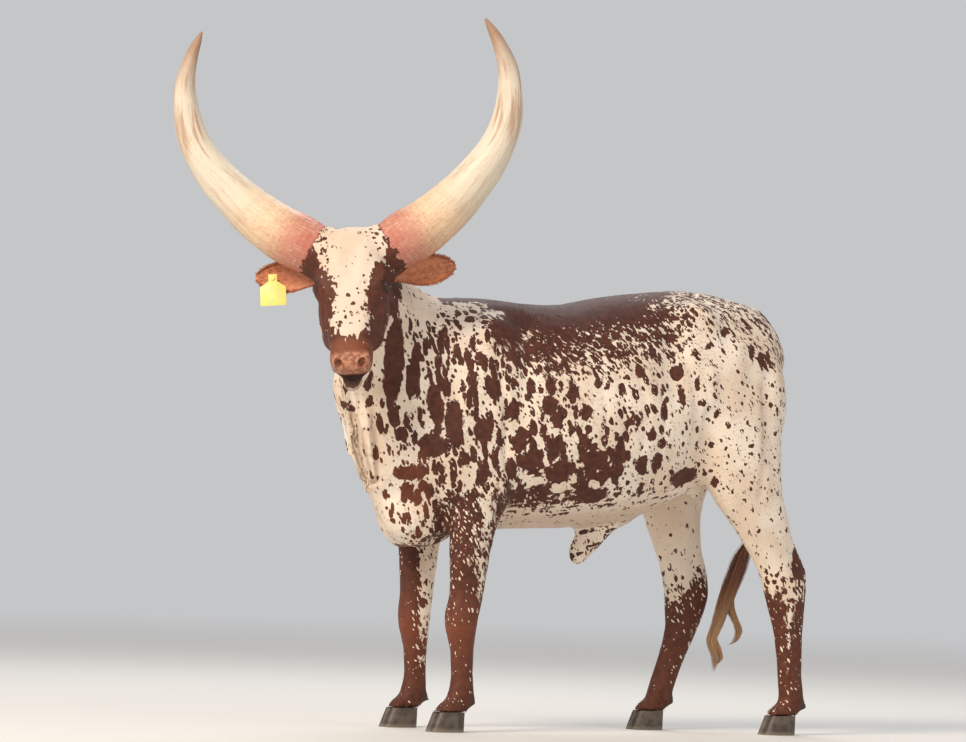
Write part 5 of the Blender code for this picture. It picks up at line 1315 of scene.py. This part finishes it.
def make_ear(name, side, finish):
    root = Vector((EAR_ROOT[0] * side, EAR_ROOT[1], EAR_ROOT[2]))
    along = Vector((0.97 * side, -0.02, -EAR_DROOP[side])).normalized()
    open_way = Vector((0.05 * side, 0.94, 0.36))
    open_way = (open_way - along * open_way.dot(along)).normalized()
    width = along.cross(open_way)
    rows = smooth_line(EAR_SHAPE, 4)
    points, colours = [], []
    for share, half, wall, cup in rows:
        centre = root + along * (EAR_START + share * EAR_REACH) - open_way * share**2 * EAR_BEND
        for face_side in (1, -1):
            for j in range(EAR_COLUMNS):
                u = (2 * j / (EAR_COLUMNS - 1) - 1) * face_side
                fold = 0.0012 * math.sin(u * 9) * math.sin(share * math.pi) * (face_side > 0)
                gristle = 0.9 * wall * face_side * math.sqrt(max(0.02, 1 - u * u * 0.96))
                rise = cup * (u * u - CUP_FLOOR) + gristle + fold
                points.append(centre + width * half * u + open_way * rise)
                colours.append((float(face_side > 0) * min(1, (1 - abs(u)) * 4), abs(u) ** 8, share, 1))
    size = 2 * EAR_COLUMNS
    faces = []
    for i in range(len(rows) - 1):
        for j in range(size):
            k = (j + 1) % size
            faces.append((i * size + j, i * size + k, (i + 1) * size + k, (i + 1) * size + j))
    faces += [tuple(range(size)), tuple(range((len(rows) - 1) * size, len(rows) * size))]
    mesh = bpy.data.meshes.new(name + "_leaf")
    mesh.from_pydata([HEAD @ point for point in points], [], faces)
    mesh.shade_smooth()
    ear = bpy.data.objects.new(name + "_leaf", mesh)
    bpy.context.scene.collection.objects.link(ear)
    write_colours(mesh, {"ear": np.array(colours)})
    turn_outwards(ear)
    mesh.materials.append(finish)
    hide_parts(name)
    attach(ear, "root")

    # fringe along both rims and hair inside the cup
    draw = np.random.default_rng(5 + side)
    count = FRINGE_HAIRS
    share = draw.uniform(0.08, 0.98, count)
    edge = draw.random(count) < RIM_SHARE
    rim = np.sign(draw.normal(0, 1, count)) * draw.uniform(0.88, 1.0, count)
    u = np.where(edge, rim, draw.uniform(-0.8, 0.8, count))
    half, cup = (np.interp(share, rows[:, 0], rows[:, i]) for i in (1, 3))
    flip = np.where(edge, 1.0, np.where(draw.random(count) < 0.5, 1.0, -1.0))
    a, o, w = np.array(along), np.array(open_way), np.array(width)
    start = np.array(root) + a * (EAR_START + share * EAR_REACH)[:, None] - o * (share**2 * EAR_BEND)[:, None]
    start = start + w * (half * u)[:, None] + o * (cup * (u * u - CUP_FLOOR) + 0.003 * flip)[:, None]
    way = a + w * (u * 0.5 + draw.normal(0, 0.15, count))[:, None]
    way = way + o * (0.25 * flip + draw.normal(0, 0.1, count))[:, None]
    way /= np.linalg.norm(way, axis=1, keepdims=True)
    side_way = np.cross(way, o)
    side_way /= np.linalg.norm(side_way, axis=1, keepdims=True)
    long = np.where(edge, 0.012, 0.009) * draw.uniform(0.6, 1.2, count) * np.where(share > 0.9, 0.6, 1.0)
    centres = np.stack([start + way * (long * t)[:, None] for t in (0.0, 0.5, 1.0)], axis=1)
    widths = FRINGE_WIDTH * draw.uniform(0.7, 1.3, count)[:, None] * np.array([[1, 0.8, 0]])
    turn = np.array(HEAD.to_3x3()).T
    strands = (placed(centres, HEAD), widths, side_way @ turn, np.cross(side_way, way) @ turn)
    colours = {"ear": np.column_stack([(flip > 0) * 0.8, edge * 0.5, share, np.ones(count)])}
    spots = np.column_stack([0.02 + 0.96 * share, 0.02 + 0.96 * (u * 0.5 + 0.5)])
    fringe = strand_mesh(name + "_fringe", strands, 3, 0.5, colours, spots)
    fringe.data.materials.append(finish)
    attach(fringe, "root")


ear_finish = ear_paint()
for name, side in (("ear_left", LEFT), ("ear_right", RIGHT)):
    make_ear(name, side, ear_finish)


# Tail switch: long wavy hair that grows round the end of the tail and hangs in locks, red-brown above and
# bleached gold at the curling tips.
SWITCH_SEED = 23
HAIR_RINGS, HAIR_WIDTH, HAIR_WAVE = 15, 0.00125, 0.0016
SWITCH_LOCKS = [
    # strands, then a lock's way down: animal's length, side, height and radius
    (260, [(0.641, 0.030, 0.660, 0.010), (0.622, 0.050, 0.605, 0.011), (0.604, 0.068, 0.550, 0.017),
           (0.588, 0.084, 0.480, 0.020), (0.568, 0.095, 0.415, 0.019), (0.546, 0.098, 0.340, 0.016),
           (0.524, 0.100, 0.285, 0.013), (0.543, 0.104, 0.230, 0.010), (0.536, 0.106, 0.180, 0.005)]),
    (120, [(0.640, 0.030, 0.655, 0.010), (0.622, 0.050, 0.605, 0.011), (0.610, 0.066, 0.545, 0.016),
           (0.594, 0.082, 0.470, 0.018), (0.580, 0.092, 0.410, 0.015), (0.602, 0.096, 0.362, 0.011),
           (0.620, 0.092, 0.318, 0.010), (0.606, 0.090, 0.286, 0.008), (0.578, 0.094, 0.270, 0.004)]),
    (90, [(0.616, 0.050, 0.600, 0.008), (0.600, 0.070, 0.540, 0.019), (0.580, 0.086, 0.470, 0.019),
          (0.560, 0.096, 0.400, 0.012), (0.530, 0.102, 0.310, 0.008), (0.548, 0.100, 0.262, 0.007),
          (0.560, 0.100, 0.228, 0.005), (0.540, 0.100, 0.205, 0.002)]),
    (200, [(0.642, 0.028, 0.664, 0.010), (0.622, 0.050, 0.606, 0.012), (0.606, 0.066, 0.555, 0.021),
           (0.592, 0.082, 0.490, 0.023), (0.574, 0.092, 0.430, 0.019), (0.562, 0.096, 0.370, 0.010),
           (0.552, 0.098, 0.330, 0.003)]),
]


def switch_paint():
    paint = Paint("switch", 0.48)
    tone = paint.split("strand")[0]
    drop = paint.math("ADD", paint.height(), paint.scaled(tone, 0.10, -0.05))
    brown = paint.mix(tone, (0.13, 0.043, 0.019), (0.27, 0.100, 0.044))
    gold = paint.mix(tone, (0.38, 0.19, 0.085), (0.60, 0.37, 0.20))
    paint.set(paint.shader, "Base Color", paint.mix(paint.ramp(drop, 0.50, 0.33), brown, gold))
    paint.shader.inputs["Sheen Weight"].default_value = 0.1
    return paint.material


def make_switch():
    draw = np.random.default_rng(SWITCH_SEED)
    shares = np.linspace(0, 1, HAIR_RINGS)
    every = []
    for count, way in SWITCH_LOCKS:
        line = smooth_line(way, 8)
        line[:, :3] += np.array(BODY_CENTRE)
        turn = draw.uniform(0, math.tau, count)
        spread = np.sqrt(draw.random(count)) * draw.uniform(0.9, 1.5, count)
        first, last = draw.uniform(0, 0.30, count), draw.uniform(0.80, 1.0, count)
        at = (first[:, None] + (last - first)[:, None] * shares) * (len(line) - 1)
        centre = np.stack([np.interp(at, np.arange(len(line)), line[:, k]) for k in range(4)], axis=2)
        wave = HAIR_WAVE * np.sin(shares * 22 + turn[:, None] * 3) * shares
        reach = centre[..., 3] * spread[:, None] * np.minimum(1, 0.35 + shares * 3) + wave
        centre[..., 0] += reach * np.cos(turn)[:, None]
        centre[..., 1] += reach * np.sin(turn)[:, None]
        every.append((centre[..., :3], turn, first))
    centres, turn, first = (np.concatenate([piece[k] for piece in every]) for k in range(3))
    count = len(centres)
    away = np.column_stack([np.cos(turn), np.sin(turn), np.zeros(count)])
    widths = (HAIR_WIDTH * draw.uniform(0.7, 1.3, count))[:, None] * ((1 - shares**3) ** 0.6)[None]
    tone = draw.random(count)
    colours = {"strand": np.column_stack([tone, tone, tone, np.ones(count)])}
    spots = np.column_stack([turn / math.tau * 0.9 + 0.05, first * 3 * 0.9 + 0.05])
    strands = (centres, widths, np.cross(away, (0, 0, 1.0)), away)
    switch = strand_mesh("tail_hair", strands, 4, 0.6, colours, spots)
    switch.data.materials.append(switch_paint())
    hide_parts("tail_switch")
    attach(switch, "root")


make_switch()


# Hooves: two claws of hard dark horn to each foot, grown round the toe bones, flat underneath, with fine
# growth lines round them and a paler rim where they wear on the ground.
CLAW_EDGE = 0.0025
FLAT_ANGLE, SHARP_ANGLE, SMOOTH_ANGLE = math.radians(3), math.radians(40), math.radians(35)


def hoof_paint():
    paint = Paint("hoof", 0.48)
    lines = paint.grain((0.06, 0.06, 0.0035), 3.0)
    mottle = paint.noise(40, 3.0)
    colour = paint.mix(paint.ramp(mottle, 0.35, 0.65), (0.050, 0.036, 0.028), (0.105, 0.078, 0.058))
    colour = paint.mix(paint.ramp(paint.height(), 0.016, 0.0), colour, (0.20, 0.16, 0.12))
    paint.set(paint.shader, "Base Color", colour)
    paint.set(paint.shader, "Normal", paint.bump(lines, 0.0010))
    return paint.material


def smooth_copy(name, new_name, bevel):
    """A smooth copy of a CAD node: doubles merged, flats dissolved and sharp edges rounded."""
    piece = copy_of_node(name)
    piece.hide_render = piece.hide_viewport = False
    piece.name = piece.data.name = new_name
    pick_only(piece)
    bpy.ops.object.mode_set(mode="EDIT")
    bpy.ops.mesh.select_all(action="SELECT")
    bpy.ops.mesh.remove_doubles(threshold=MERGE_GAP)
    bpy.ops.mesh.dissolve_limited(angle_limit=FLAT_ANGLE)
    bpy.ops.object.mode_set(mode="OBJECT")
    rounding = piece.modifiers.new("rounding", "BEVEL")
    rounding.width = bevel
    rounding.segments = 3
    rounding.angle_limit = SHARP_ANGLE
    bpy.ops.object.modifier_apply(modifier=rounding.name)
    bpy.ops.object.shade_smooth_by_angle(angle=SMOOTH_ANGLE)
    piece.data.materials.clear()
    return piece


hoof_finish = hoof_paint()
for foot in ("fore_hoof_left", "fore_hoof_right", "hind_hoof_left", "hind_hoof_right"):
    for half in ("inner", "outer"):
        claw = smooth_copy(f"{foot}_{half}", f"{foot}_{half}_claw", CLAW_EDGE)
        claw.data.materials.append(hoof_finish)
        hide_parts(f"{foot}_{half}")
        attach(claw, "root")


# Ear tag: a moulded plate of plain yellow plastic, a little dusty. Its pin goes through the ear and holds it
# in front of the cup.
TAG_EDGE = 0.0007


def tag_paint():
    paint = Paint("tag", 0.38)
    dust = paint.grain((0.02, 0.02, 0.03), 4.0)
    colour = paint.mix(paint.ramp(dust, 0.45, 0.75), (0.84, 0.74, 0.20), (0.74, 0.65, 0.28))
    paint.set(paint.shader, "Base Color", colour)
    paint.set(paint.shader, "Roughness", paint.ramp(dust, 0.4, 0.7, 0.34, 0.60))
    paint.shader.inputs["Subsurface Weight"].default_value = 0.08
    return paint.material


tag = smooth_copy("ear_tag", "ear_tag_plate", TAG_EDGE)
tag.data.materials.append(tag_paint())
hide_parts("ear_tag")
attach(tag, "root")
